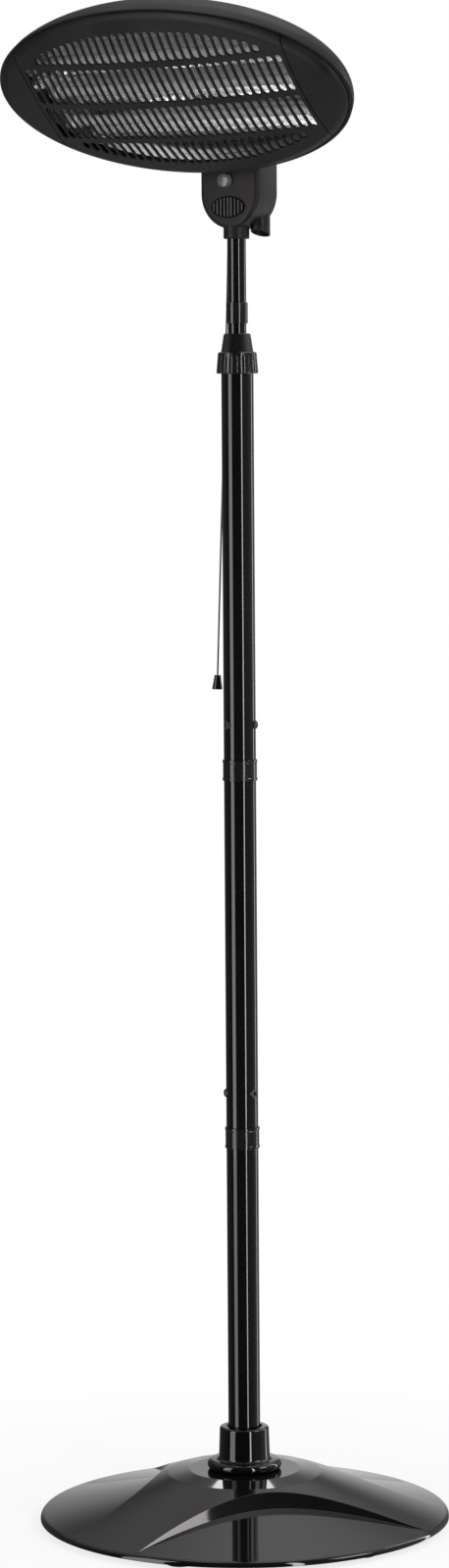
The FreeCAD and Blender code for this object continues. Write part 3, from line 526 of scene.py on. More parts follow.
def finish(name, colour, roughness, scales, bump, shade=1.0, second=None, stretch=(1, 1, 1), **fixed):
    """Material on the fine-surface group; the fixed values go straight on the shader's own sockets.

    Roughness is least and most, and the scales are those of the patches and of the grain."""
    if name in bpy.data.materials:
        return bpy.data.materials[name]
    material = bpy.data.materials.new(name)
    material.use_nodes = True
    tree = material.node_tree
    second = second or lighter(colour, shade)
    values = {
        "Colour": (*colour, 1),
        "Second Colour": (*second, 1),
        "Roughness": roughness[0],
        "Rougher": roughness[1],
        "Patch Scale": scales[0],
        "Grain Scale": scales[1],
        "Stretch": stretch,
    }
    surface = add_node(tree, "ShaderNodeGroup", values, node_tree=surface_group())
    relief = {"Strength": 1.0, "Distance": bump, "Height": surface["Height"]}
    inputs = {socket.replace("_", " "): value for socket, value in fixed.items()}
    inputs["Base Color"] = surface["Colour"]
    inputs["Roughness"] = surface["Roughness"]
    inputs["Normal"] = add_node(tree, "ShaderNodeBump", relief)["Normal"]
    set_inputs(tree, tree.nodes["Principled BSDF"], inputs)
    return material


def gloss_black():
    """Polished black moulding of the base, the mast socket and the oval plate."""
    return finish("gloss_black_moulding", tint("gloss_black"), shade=1.25, roughness=(0.035, 0.06),
                  scales=(14, 160), bump=3e-7, Specular_Tint=warm_black)


def mast_lacquer():
    """Glossy black powder coat with a faint orange peel."""
    return finish("mast_lacquer", tint("mast_black"), shade=1.3, roughness=(0.035, 0.06),
                  scales=(9, 260), bump=2e-7, Specular_Tint=warm_black)


def head_enamel():
    """Satin black heat-proof paint of the head."""
    return finish("head_enamel", tint("head_black"), shade=1.35, roughness=(0.38, 0.48),
                  scales=(26, 1500), bump=1.6e-5, Specular_IOR_Level=0.2, Specular_Tint=warm_black)


def satin_plastic():
    """Finely textured black plastic of the neck."""
    return finish("satin_plastic", tint("satin_black"), shade=1.3, roughness=(0.36, 0.46),
                  scales=(30, 1300), bump=2e-5, Specular_IOR_Level=0.2, Specular_Tint=warm_black)


def clamp_plastic():
    """Half-gloss black plastic of the twist clamp, the collars, the stop sleeve and the knob."""
    return finish("clamp_plastic", tint("satin_black"), shade=1.25, roughness=(0.12, 0.18),
                  scales=(30, 900), bump=3e-7, Specular_IOR_Level=0.5, Specular_Tint=warm_black)


def dark_steel():
    """Blackened steel of the screws in view."""
    return finish("dark_steel", slot_colours["screw_black"], second=(0.06, 0.06, 0.062),
                  roughness=(0.3, 0.42), scales=(200, 2500), bump=8e-6, Metallic=0.7)


def plated_steel():
    """Zinc-plated steel of the hidden screws and the tube holders."""
    return finish("plated_steel", slot_colours["holder_steel"], second=(0.48, 0.48, 0.5),
                  roughness=(0.25, 0.4), scales=(90, 1800), bump=8e-6, Metallic=1.0)


def polished_aluminium():
    """Bright rolled sheet of the reflector, with faint lines along the tubes."""
    return finish("polished_aluminium", lighter(slot_colours["reflector_bright"], 0.8), shade=0.85,
                  roughness=(0.2, 0.3), scales=(30, 420), bump=1.4e-5, stretch=(0.06, 1, 1), Metallic=1.0)


def milky_quartz():
    """Quartz glass of the heating tubes, frosted by its drawn surface."""
    return finish("milky_quartz", tint("quartz_tint"), shade=0.93, roughness=(0.14, 0.24), scales=(60, 700),
                  bump=1e-5, stretch=(0.1, 1, 1), Transmission_Weight=0.55, IOR=1.46)


def resistance_wire():
    """Dull metal of the heating coils."""
    return finish("resistance_wire", slot_colours["coil_wire"], second=(0.22, 0.2, 0.19),
                  roughness=(0.35, 0.5), scales=(300, 3000), bump=4e-6, Metallic=1.0)


def white_ceramic():
    """Fired ceramic of the tubes' end caps."""
    return finish("white_ceramic", slot_colours["cap_ceramic"], shade=0.92, roughness=(0.35, 0.5),
                  scales=(120, 1600), bump=1e-5)


def white_nylon():
    """Moulded nylon of the terminal block and the switch's plunger."""
    return finish("white_nylon", slot_colours["terminal_white"], shade=0.94, roughness=(0.4, 0.5),
                  scales=(120, 1200), bump=1e-5)


def cast_weight():
    """Rough casting of the base's weight."""
    return finish("cast_weight", slot_colours["cast_weight"], shade=0.7, roughness=(0.6, 0.8),
                  scales=(60, 500), bump=1.5e-4)


def smoky_lens():
    """Grey translucent moulding of the indicator lamp."""
    return finish("smoky_lens", tint("lens_grey"), shade=1.12, roughness=(0.12, 0.2), scales=(90, 500),
                  bump=6e-6, Transmission_Weight=0.35, IOR=1.49)


def foot_rubber():
    """Soft grey rubber of the feet."""
    return finish("foot_rubber", tint("foot_grey"), shade=0.85, roughness=(0.5, 0.65), scales=(90, 900),
                  bump=3e-5)


def braided_cord():
    """Dark braided cord, with a fine grain that is longer along it."""
    return finish("braided_cord", tint("cord_dark"), shade=1.7, roughness=(0.6, 0.75), scales=(900, 2600),
                  bump=1.2e-4, stretch=(1, 1, 0.45))


# Base

def slope_height(radius):
    share = (radius - bevel_radius) / (slope_radius - bevel_radius)
    return bevel_height + share * (rim_top - bevel_height)


def floor_height(radius):
    share = (slope_radius - radius) / (slope_radius - scallop_ridge)
    return rim_top + share * (scallop_floor_height - rim_top)


def wall_meets(turn, height_at):
    """Radius where a scallop's leaning wall meets a surface, at a turn from the scallop's middle."""
    centre = scallop_ridge + scallop_sweep
    wall_start = scallop_sweep - slope_height(scallop_ridge) * scallop_lean

    def outside(radius):
        distance = math.sqrt(radius ** 2 + centre ** 2 - 2 * radius * centre * math.cos(turn))
        return distance > wall_start + height_at(radius) * scallop_lean

    low, high = bevel_radius, slope_radius
    if outside(high):
        return high
    halvings = 40
    for _ in range(halvings):
        middle = (low + high) / 2
        if outside(middle):
            low = middle
        else:
            high = middle
    return high


def base_rings():
    """Rings of the base cover as (zone, share) pairs, from the mast out to the rim.

    Close rings on both sides of the plateau's edge and the bevel's edge keep these edges crisp."""
    rings = [("plateau", share) for share in (0, 0.5, 0.985, 1)]
    rings += [("bevel", share) for share in (0.03, 0.5, 0.97, 1)]
    rings += [("slope", 0.006)]
    for zone, count in (("slope", 12), ("wall", 4), ("floor", 10), ("rim", 6), ("skirt", 1), ("under", 1)):
        rings += [(zone, index / count) for index in range(1, count + 1)]
    return rings


def base_point(zone, share, turn):
    """Radius and height of one point of the cover at a turn from the nearest scallop's middle."""
    ridge = wall_meets(turn, slope_height)
    foot = max(ridge, wall_meets(turn, floor_height))
    ridge_height = slope_height(ridge)
    foot_height = min(ridge_height, floor_height(foot))
    spans = {
        "plateau": ((cover_bore, plateau_height), (plateau_radius, plateau_height)),
        "bevel": ((plateau_radius, plateau_height), (bevel_radius, bevel_height)),
        "slope": ((bevel_radius, bevel_height), (ridge, ridge_height)),
        "wall": ((ridge, ridge_height), (foot, foot_height)),
        "floor": ((foot, foot_height), (slope_radius, rim_top)),
        "skirt": ((base_radius, rim_top - rim_round), (base_radius, rim_bottom)),
        "under": ((base_radius, rim_bottom), (underside_radius, rim_bottom)),
    }
    if zone == "rim":
        turned_down = share * quarter_turn
        drop = rim_round * (1 - math.cos(turned_down))
        return slope_radius + rim_round * math.sin(turned_down), rim_top - drop
    (near, near_height), (far, far_height) = spans[zone]
    return near + share * (far - near), near_height + share * (far_height - near_height)


def make_base_cover():
    """Glossy domed cover: rings turned round the mast, drawn in at three scallops with leaning walls."""
    rings = base_rings()
    gap = 0.001
    flat_rings = [((index + 1) * gap, 0) for index in range(len(rings))]
    cover = turned("base_cover_moulding", flat_rings, base_sides)
    sector = 2 * math.pi / scallop_count
    for vertex in cover.data.vertices:
        zone, share = rings[round(vertex.co.xy.length / gap) - 1]
        angle = math.atan2(vertex.co.x, -vertex.co.y)
        turn = math.remainder(angle - scallop_angle, sector)
        radius, height = base_point(zone, share, turn)
        vertex.co = (radius * math.sin(angle), -radius * math.cos(angle), height)
    edited(cover, (bpy.ops.mesh.remove_doubles, {"threshold": 2e-5}))
    faced_outwards(cover)
    rounded(cover, sizes().scallop_edge, angle=16)
    applied(cover, "SOLIDIFY", thickness=cover_wall, offset=-1.0)
    smoothed(cover, angle=28)
    return applied(cover, "WEIGHTED_NORMAL", keep_sharp=True)


def make_feet():
    """Round rubber feet in a circle under the rim."""
    low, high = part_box("base_feet")
    edge, dimple, draft = 0.0015, 0.0006, 0.001
    steps = [(0.55 * foot_radius, low.z + dimple), (0.6 * foot_radius, low.z), (foot_radius - edge, low.z),
             (foot_radius, low.z + edge), (foot_radius - draft, high.z)]
    foot = rounded(turned("foot", steps, sides=40, end="filled"), width=0.0005)
    angles = [first_foot + index * 2 * math.pi / foot_count for index in range(foot_count)]
    places = [Matrix.Translation(outward(angle, foot_circle, 0)[0]) for angle in angles]
    return repeated("rubber_feet", foot, places)


def make_socket():
    """Flanged socket that holds the mast, with a rounded flange and a dished mouth."""
    low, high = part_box("mast_socket")
    fillet, lip, dish, hold = 0.004, 0.003, 0.005, 0.001
    flat = high.x - flange_height / 2
    flange_top = low.z + flange_height
    steps = [(socket_bore, low.z), (flat, low.z)]
    steps += arc_steps(steps[-1], (high.x, low.z + flange_height / 2), (flat, flange_top), count=12)
    steps += [(socket_barrel + fillet, flange_top)]
    steps += corner_steps(steps[-1], (socket_barrel, flange_top), (socket_barrel, flange_top + fillet), 6)
    steps += [(socket_barrel, flange_top + fillet + hold), (socket_barrel_top, high.z - lip - hold),
              (socket_barrel_top, high.z - lip)]
    steps += corner_steps(steps[-1], (socket_barrel_top, high.z), (socket_barrel_top - lip, high.z), 6)
    steps += [(socket_mouth, high.z), (socket_bore, high.z - dish), (socket_bore, low.z)]
    return smoothed(turned("mast_socket_moulding", steps, sides=120, end="joined"))


# Mast

def make_tube(node, name, sides=96):
    """Plain tube with softened ends."""
    low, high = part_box(node)
    tube = turned(name, ring_steps(high.x - tube_wall, high.x, low.z, high.z), sides, "joined")
    return rounded(tube, tube_edge, segments=2)


def make_collar(node, name):
    """Collar between two tubes: a raised lip at each end and a shallow waist between them."""
    tube_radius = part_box("lower_tube")[1].x
    low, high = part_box(node)
    middle, radius = (low.z + high.z) / 2, high.x
    waist_radius = radius - collar_waist_depth
    waist_end = collar_half_height - collar_lip - collar_waist_depth
    hold = 0.001
    upper = [(waist_radius, waist_end - hold), (waist_radius, waist_end),
             (radius, collar_half_height - collar_lip), (radius, collar_half_height),
             (tube_radius, collar_half_height)]
    lower = [(step_radius, -height) for step_radius, height in reversed(upper)]
    steps = [(step_radius, middle + height) for step_radius, height in lower + upper + lower[:1]]
    return rounded(turned(name, steps, sides=96, end="joined"), width=0.0004, segments=2)


def make_joint_screws():
    """Round-headed screws with a drive recess, three round the mast above each collar."""
    radius, height = screw_radius, screw_height
    steps = [(0.5 * radius, -height), (0.5 * radius, 0), (radius, 0), (radius, 0.2 * height)]
    steps += arc_steps(steps[-1], (0.78 * radius, 0.78 * height), (0.45 * radius, height), count=6)
    steps += [(screw_drive, height), (0.9 * screw_drive, 0.5 * height)]
    screw = smoothed(turned("screw", steps, sides=36, end="filled"))
    tube_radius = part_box("lower_tube")[1].x
    places = []
    for node, first in first_joint_screw.items():
        low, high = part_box(node)
        middle = (low.z + high.z) / 2
        for index in range(joint_screw_count):
            angle = first + index * 2 * math.pi / joint_screw_count
            point, direction = outward(angle, tube_radius, middle + joint_screw_rise)
            places.append(along(direction, point))
    return repeated("joint_button_screws", screw, places)


def make_clamp_nut():
    """Fluted twist ring with a smooth cone above it."""
    low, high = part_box("clamp_nut")
    foot_edge, edge, root = 0.0012, 0.0015, 0.0008
    ring_top = low.z + nut_ring_height
    bottom_radius, top_radius = high.x, high.x - nut_ring_taper
    flutes_from, flutes_to = low.z + 0.002, ring_top - 0.0035
    thread_top, taper_top = ring_top - 0.004, ring_top + 0.012
    rings = 9
    steps = [(nut_bore, low.z), (bottom_radius - foot_edge, low.z), (bottom_radius, low.z + foot_edge)]
    for index in range(1, rings + 1):
        share = index / rings
        height = flutes_from + share * (flutes_to - flutes_from)
        steps.append((bottom_radius - share * nut_ring_taper, height))
    steps += [(top_radius, ring_top - edge), (top_radius - edge, ring_top), (cone_foot + root, ring_top),
              (cone_foot, ring_top + root), (cone_top, high.z - edge), (cone_top - edge, high.z),
              (nut_post_bore, high.z), (nut_post_bore, taper_top), (nut_bore, thread_top), (nut_bore, low.z)]
    nut = turned("twist_ring", steps, 16 * sizes().flute_count, "joined")
    skin, run_out, reach = 0.0008, 0.003, 0.0005
    for vertex in nut.data.vertices:
        radius, height = vertex.co.xy.length, vertex.co.z
        if radius < top_radius - skin or height > flutes_to + 1e-5:
            continue
        angle = math.atan2(vertex.co.y, vertex.co.x)
        land = abs(math.sin(angle * sizes().flute_count / 2)) ** flute_roundness
        ease = min(1.0, (height - low.z) / run_out, (flutes_to + reach - height) / run_out)
        shrink = 1 - sizes().flute_depth * (1 - land) * max(0.0, ease) / radius
        vertex.co.x *= shrink
        vertex.co.y *= shrink
    return smoothed(nut, angle=40)


# Neck

def make_lens():
    """Indicator lens in the neck's front: a short button with a slightly domed face."""
    low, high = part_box("indicator_lens")
    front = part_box("neck_front_cover")[0].y
    face = lens_face
    sunk, edge, draft = 0.002, 0.001, 0.0005
    shoulder = lens_radius - draft
    steps = [(lens_radius, -sunk), (lens_radius, 0.2 * edge), (lens_radius, edge),
             (shoulder, face - 2 * edge), (shoulder, face - edge)]
    steps += corner_steps(steps[-1], (shoulder, face), (shoulder - edge, face), count=4)
    steps += arc_steps(steps[-1], (0.55 * lens_radius, face + 0.625 * lens_crown),
                       (0.06 * lens_radius, face + lens_crown), count=6)
    lens = turned("indicator_lens_dome", steps, sides=48, end="filled")
    centre = ((low.x + high.x) / 2, front, (low.z + high.z) / 2)
    return put(smoothed(lens), along((0, -1, 0), centre))


def ellipse(half_width, half_height, count=96):
    """Flat outline of an ellipse."""
    turns = [2 * math.pi * index / count for index in range(count)]
    return [(half_width * math.cos(turn), half_height * math.sin(turn)) for turn in turns]


def make_plate():
    """Oval plate with a raised border and rounded upright ribs."""
    low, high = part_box("badge_plate")
    half_width, half_height = high.x, (high.z - low.z) / 2
    points, spare = 180, 0.001
    outline = []
    for index in range(points + 1):
        x = half_width * (2 * index / points - 1)
        hollow = 1 - abs(math.cos(math.pi * x / plate_rib_pitch))
        outline.append((x, low.y + plate_rib_height * hollow))
    outline += [(half_width, high.y), (-half_width, high.y)]
    plate = prism("ribbed_oval_plate", outline, low.z, high.z)
    upright = Matrix.Translation((0, 0, (low.z + high.z) / 2)) @ Matrix.Rotation(quarter_turn, 4, "X")
    inside = ellipse(half_width - plate_border, half_height - plate_border)
    through = (-high.y - spare, -low.y + spare)
    cut(plate, put(prism("oval", inside, *through), upright), "INTERSECT")
    ring = prism("border", ellipse(half_width, half_height), -high.y, -low.y)
    cut(ring, prism("opening", inside, *through))
    cut(plate, put(ring, upright), "UNION")
    return smoothed(plate, angle=30)


# Head

def oval(piece):
    """Stretch a turned piece across to the head's ellipse."""
    return put(piece, Matrix.Diagonal((head_stretch, 1, 1, 1)))


def front_cap(name):
    """The whole domed front as a thin shell."""
    shoulder = front_radius - front_shoulder
    steps = [(front_radius, -front_tuck), (front_radius, front_edge_rise)]
    steps += arc_steps(steps[-1], (front_radius - 0.3 * front_shoulder, 0.62 * front_shoulder_rise),
                       (shoulder, front_shoulder_rise), count=8)
    crown_half = front_crown - (front_crown - front_shoulder_rise) / 4
    last_ring = 0.002
    steps += arc_steps(steps[-1], (shoulder / 2, crown_half), (last_ring, front_crown), count=36)
    cap = oval(turned(name, steps, head_sides, "point"))
    return applied(cap, "SOLIDIFY", thickness=front_wall, offset=-1.0)


def seam_curve(side, gap, count=24):
    """Points up a bowed seam of the front, moved outwards by a gap."""
    points = []
    for index in range(count + 1):
        y = head_half_height * (2 * index / count - 1) * seam_overrun
        points.append((side * (seam_half_width + gap + seam_flare * (y / head_half_height) ** 2), y))
    return points


def slot_spans():
    """Middle x, low end and high end of every slot of the grille."""
    edge = crossbar / 2 + slot_row_height
    rows = [(-window_half_height, -edge - crossbar), (-edge, -crossbar / 2),
            (crossbar / 2, edge), (edge + crossbar, window_half_height)]
    spans = []
    for column in range(slot_columns):
        x = (column - (slot_columns - 1) / 2) * sizes().slot_pitch
        reach = window_half_height * math.sqrt(1 - (x / window_half_width) ** 2)
        for low, high in rows:
            low, high = max(low, -reach), min(high, reach)
            if high - low >= shortest_slot:
                spans.append((x, low, high))
    return spans


def slot_outline(x, low, high, width, count=6):
    """Flat outline of one upright round-ended slot."""
    half = width / 2
    points = []
    for centre, first in ((high - half, 0), (low + half, math.pi)):
        for index in range(count + 1):
            turn = first + math.pi * index / count
            points.append((x + half * math.cos(turn), centre + half * math.sin(turn)))
    return points


def slots_cutter(name, outlines, low, high):
    """All the slots as one mesh of separate prisms."""
    return joined(name, [prism("slot", outline, low, high) for outline in outlines])


def make_front_panel():
    """Slotted middle of the front, between the two seams."""
    panel = front_cap("slotted_front")
    right = seam_curve(1, -seam_gap / 2)
    left = seam_curve(-1, -seam_gap / 2)
    cut(panel, prism("middle", right + left[::-1], *through_front), "INTERSECT")
    outlines = [slot_outline(x, low, high, sizes().slot_width) for x, low, high in slot_spans()]
    cut(panel, slots_cutter("slots", outlines, *through_front))
    return put(smoothed(panel, angle=30), head_place)


def make_wing(side, name):
    """Plain end of the front, outside a seam."""
    wing = front_cap(name)
    seam = seam_curve(side, seam_gap / 2)
    spare = 0.01
    far = side * (head_half_width + spare)
    outline = seam + [(far, seam[-1][1]), (far, seam[0][1])]
    cut(wing, prism("end", outline, *through_front), "INTERSECT")
    return put(smoothed(wing, angle=30), head_place)


def make_rear_shell():
    """Deep oval shell with a rolled rim and cooling slots across its back."""
    inside, outside = head_half_height - shell_wall, head_half_height
    steps = [(inside, -rim_lip), (inside, -0.1 * rim_lip), (inside + 0.15 * rim_lip, 0),
             (outside - rim_edge, 0), (outside, -rim_edge), (outside - rim_draft, -rim_wall_depth)]
    steps += arc_steps(steps[-1], shell_bulge, (back_radius, -back_depth), count=28)
    steps += [(back_radius * share, -back_depth) for share in (0.75, 0.5, 0.25, 0.03)]
    shell = oval(turned("rear_shell_pressing", steps, head_sides, "point"))
    applied(shell, "SOLIDIFY", thickness=0.6 * shell_wall, offset=-1.0)
    outlines = []
    for index in range(vent_count):
        centre = first_vent + index * vent_pitch
        upright = slot_outline(centre, -vent_half_length, vent_half_length, vent_width)
        outlines.append([(y, x) for x, y in upright][::-1])
    reach = 0.01
    cut(shell, slots_cutter("vents", outlines, -back_depth - reach, -back_depth + reach))
    return put(smoothed(shell, angle=30), head_place)


# Heating element

def trough_height(y):
    """Depth of the reflector's three round troughs at a height up the face."""
    half = trough_pitch / 2
    drop = trough_crest - trough_bottom
    radius = (half ** 2 + drop ** 2) / (2 * drop)
    if abs(y) > 1.5 * trough_pitch:
        return trough_crest
    offset = math.remainder(y, trough_pitch)
    return trough_bottom + radius - math.sqrt(radius ** 2 - offset ** 2)


def make_reflector():
    """Polished dish with three troughs, an upright wall and a flange."""
    flat = -0.05
    rings = 54
    steps = [(reflector_flange, reflector_top), (reflector_radius, reflector_top), (reflector_radius, flat)]
    steps += [(reflector_radius * (1 - index / rings), flat) for index in range(1, rings)]
    dish = oval(turned("polished_reflector", steps, head_sides, "point"))
    for vertex in dish.data.vertices:
        if vertex.co.z < flat + 1e-6:
            vertex.co.z = trough_height(vertex.co.y)
    applied(dish, "SOLIDIFY", thickness=reflector_sheet, offset=-1.0)
    return put(smoothed(dish, angle=40), head_place)


def on_tube(index):
    """Matrix that lays +Z along a tube's axis."""
    start = Matrix.Translation((0, index * tube_pitch, -tube_depth))
    return head_place @ start @ Matrix.Rotation(quarter_turn, 4, "Y")


def make_quartz_tube(index, name):
    """Open glass tube, counted from the middle one."""
    steps = ring_steps(quartz_bore, quartz_radius, -tube_half_length, tube_half_length)
    tube = rounded(turned(name, steps, sides=40, end="joined"), tube_edge, segments=2)
    return put(tube, on_tube(index))


def make_coils():
    """Wound wire inside each tube: the wire's section is screwed along the tube's axis."""
    pitch = sizes().coil_pitch
    turns = round(2 * tube_half_length * coil_share / pitch)
    start = (coil_radius, 0, -turns * pitch / 2)
    coil = circle("coil", 6, sizes().coil_wire / 2, location=start, rotation=(quarter_turn, 0, 0))
    applied(coil, "SCREW", axis="Z", angle=2 * math.pi, screw_offset=pitch, iterations=turns,
            steps=14, render_steps=14, use_merge_vertices=False, use_smooth_shade=True)
    edited(coil, (bpy.ops.mesh.fill_holes, {"sides": 0}))
    faced_outwards(coil)
    smoothed(coil, angle=60)
    return repeated("wound_coils", coil, [on_tube(index) for index in (-1, 0, 1)])


# Pull cord

def make_cord():
    """Hanging cord on a smooth curve through the route's points."""
    curve = bpy.data.curves.new("pull_cord_line", "CURVE")
    curve.dimensions = "3D"
    curve.bevel_depth = cord_diameter / 2
    curve.bevel_resolution = 3
    curve.resolution_u = 16
    spline = curve.splines.new("NURBS")
    spline.points.add(len(cord_points) - 1)
    for point, place in zip(spline.points, cord_points):
        point.co = (*place, 1)
    spline.order_u = 3
    spline.use_endpoint_u = True
    return linked("pull_cord_line", curve)


def make_knob():
    """Bell knob on the cord's end, hollow at its foot."""
    top, foot, length = knob_top, knob_foot, knob_length
    first_ring, top_edge, foot_edge = 0.0012, 0.0006, 0.001
    shoulder, flare = (top + 0.0002, 0.003), (top + 0.0011, 0.0095)
    steps = [(first_ring, 0), (top - top_edge, 0), (top, top_edge), shoulder]
    steps += arc_steps(steps[-1], flare, (foot, length - foot_edge), count=8)
    steps += corner_steps(steps[-1], (foot, length), (foot - foot_edge, length), count=4)
    lip, hollow_side, hollow_depth = 0.0018, 0.0024, 0.002
    steps += [(foot - lip, length), (foot - hollow_side, length - hollow_depth)]
    knob = smoothed(turned("bell_knob", steps, sides=40, end="filled"))
    end, before = Vector(cord_points[-1]), Vector(cord_points[-2])
    return put(knob, along(end - before, end))


# Settings

def length_property(label, words, default):
    return FloatProperty(name=label, description=words, default=default, unit="LENGTH")


def power_property(label, words, default):
    return FloatProperty(name=label, description="Power of the " + words, default=default)


def colour_property(label, words, default):
    return FloatVectorProperty(name=label, description=words, subtype="COLOR", size=3, min=0, max=1,
                               default=default)


class HeaterSizes(bpy.types.PropertyGroup):
    """Sizes of the dressed pieces that a user may change."""

    slot_width: length_property("Slot Width", "Width of a grille slot", 0.0086)
    slot_pitch: length_property("Slot Pitch", "Distance between the middles of two slots", 0.0114)
    scallop_edge: length_property("Scallop Edge", "Rounding of the base's scalloped edges", 0.0022)
    flute_count: IntProperty(name="Flutes", description="Number of flutes round the twist ring", default=20)
    flute_depth: length_property("Flute Depth", "Depth of a flute of the twist ring", 0.0008)
    coil_pitch: length_property("Coil Pitch", "Length of one turn of a heating coil", 0.0038)
    coil_wire: length_property("Coil Wire", "Thickness of the heating wire", 0.0008)


class HeaterColours(bpy.types.PropertyGroup):
    """Colours of the finishes."""

    gloss_black: colour_property("Gloss Black", "Base, mast socket and oval plate", (0.0042, 0.0038, 0.0042))
    mast_black: colour_property("Mast Black", "Powder coat of the mast", (0.0042, 0.0038, 0.0042))
    head_black: colour_property("Head Black", "Heat-proof paint of the head", (0.0086, 0.0080, 0.0082))
    satin_black: colour_property("Satin Black", "Neck, clamp, collars and knob", (0.0080, 0.0074, 0.0079))
    lens_grey: colour_property("Lens Grey", "Indicator lens", (0.15, 0.15, 0.155))
    foot_grey: colour_property("Foot Grey", "Rubber of the feet", (0.3, 0.3, 0.31))
    quartz_tint: colour_property("Quartz Tint", "Glass of the heating tubes", (0.88, 0.88, 0.86))
    cord_dark: colour_property("Cord", "Braid of the pull cord", (0.012, 0.012, 0.012))


class HeaterStage(bpy.types.PropertyGroup):
    """Floor, light and camera."""

    lens: FloatProperty(name="Lens", description="Focal length of the camera in millimetres",
                        default=focal_pixels / picture_height * sensor_height)
    floor_size: length_property("Floor Size", "Side of the square floor", 24.0)
    side_strip: power_property("Side Strip", "tall strip on the left", 42.0)
    front_strip: power_property("Front Strip", "narrow strip beside the camera", 36.0)
    rear_strip: power_property("Rear Strip", "narrow strip behind, on the right", 14.0)
    top_light: power_property("Top Light", "soft light overhead", 10.0)
    back_light: power_property("Back Light", "soft light high behind the heater", 2.6)
    right_light: power_property("Right Light", "soft light high on the right", 54.0)


# Operators, one for each group of pieces

class HeaterOperator:
    """Options that all the operators share."""

    bl_options = {"REGISTER", "UNDO"}


class HEATER_OT_base(HeaterOperator, bpy.types.Operator):
    """Model the domed base cover, the feet and the mast socket"""

    bl_idname = "heater.base"
    bl_label = "Base"

    def execute(self, context):
        dressed(make_base_cover(), gloss_black(), "base", "base_cover")
        dressed(make_feet(), foot_rubber(), "base", "base_feet")
        dressed(make_socket(), gloss_black(), "base", "mast_socket")
        return {"FINISHED"}


class HEATER_OT_mast(HeaterOperator, bpy.types.Operator):
    """Model the mast's tubes, collars and joint screws"""

    bl_idname = "heater.mast"
    bl_label = "Mast"

    def execute(self, context):
        for node in ("lower_tube", "middle_tube", "upper_tube"):
            dressed(make_tube(node, node + "_lacquered"), mast_lacquer(), "base", node)
        for node in ("lower_joint", "upper_joint"):
            dressed(make_collar(node, node + "_collar"), clamp_plastic(), "base", node)
        dressed(make_joint_screws(), dark_steel(), "base", "joint_screws")
        return {"FINISHED"}


class HEATER_OT_clamp(HeaterOperator, bpy.types.Operator):
    """Model the twist clamp, the telescopic post and its stop sleeve"""

    bl_idname = "heater.clamp"
    bl_label = "Clamp and Post"

    def execute(self, context):
        dressed(make_clamp_nut(), clamp_plastic(), "clamp_ring", "clamp_nut")
        post = make_tube("inner_tube", "post_lacquered", sides=72)
        dressed(post, mast_lacquer(), "post", "inner_tube")
        sleeve = from_node("stop_sleeve", "stop_sleeve_moulding")
        dressed(sleeve, clamp_plastic(), "post", "stop_sleeve")
        return {"FINISHED"}


class HEATER_OT_neck(HeaterOperator, bpy.types.Operator):
    """Model the neck's covers, lens, oval plate, cord guide and cable inlet"""

    bl_idname = "heater.neck"
    bl_label = "Neck"

    def execute(self, context):
        for node in ("neck_front_cover", "neck_rear_cover", "neck_socket", "cord_guide", "cable_gland"):
            dressed(from_node(node, node + "_moulding"), satin_plastic(), "post", node)
        dressed(make_lens(), smoky_lens(), "post", "indicator_lens")
        dressed(make_plate(), gloss_black(), "post", "badge_plate")
        return {"FINISHED"}


class HEATER_OT_head(HeaterOperator, bpy.types.Operator):
    """Model the head's shell, its slotted front, both wings and the tilt bracket"""

    bl_idname = "heater.head"
    bl_label = "Head"

    def execute(self, context):
        pieces = {
            "rear_shell": make_rear_shell(),
            "front_panel": make_front_panel(),
            "left_wing": make_wing(-1, "left_wing_cover"),
            "right_wing": make_wing(1, "right_wing_cover"),
            "tilt_bracket": from_node("tilt_bracket", "tilt_bracket_pressing"),
        }
        for node, piece in pieces.items():
            dressed(piece, head_enamel(), "head", node)
        return {"FINISHED"}


class HEATER_OT_element(HeaterOperator, bpy.types.Operator):
    """Model the reflector, the quartz tubes, their coils and their end caps"""

    bl_idname = "heater.element"
    bl_label = "Heating Element"

    def execute(self, context):
        dressed(make_reflector(), polished_aluminium(), "head", "reflector")
        for index, place in ((-1, "lower"), (0, "middle"), (1, "upper")):
            node = "quartz_tube_" + place
            dressed(make_quartz_tube(index, node + "_glass"), milky_quartz(), "head", node)
        dressed(make_coils(), resistance_wire(), "head", "heating_coils")
        caps = from_node("ceramic_caps", "ceramic_end_caps")
        dressed(caps, white_ceramic(), "head", "ceramic_caps")
        return {"FINISHED"}


class HEATER_OT_cord(HeaterOperator, bpy.types.Operator):
    """Hang the pull cord with its bell knob"""

    bl_idname = "heater.cord"
    bl_label = "Pull Cord"

    def execute(self, context):
        knob = dressed(make_knob(), clamp_plastic(), "pull", "cord_knob")
        cord = dressed(make_cord(), braided_cord(), "pull", "pull_cord")
        return {"FINISHED"}


class HEATER_OT_finishes(HeaterOperator, bpy.types.Operator):
    """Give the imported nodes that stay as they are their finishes"""

    bl_idname = "heater.finishes"
    bl_label = "Finishes of the Inner Pieces"

    def execute(self, context):
        finishes = {
            gloss_black: ("base_plate",),
            cast_weight: ("base_weight",),
            plated_steel: ("plate_screws", "socket_screws", "left_tube_holder", "right_tube_holder"),
            dark_steel: ("cover_screws", "tilt_screws", "bracket_screws"),
            clamp_plastic: ("clamp_body", "guide_bush", "tilt_washers", "pull_switch"),
            white_nylon: ("terminal_block", "switch_plunger"),
        }
        for make, nodes in finishes.items():
            for node in nodes:
                mesh = frame["nodes"][node].data
                mesh.materials.clear()
                mesh.materials.append(make())
        return {"FINISHED"}


# Stage

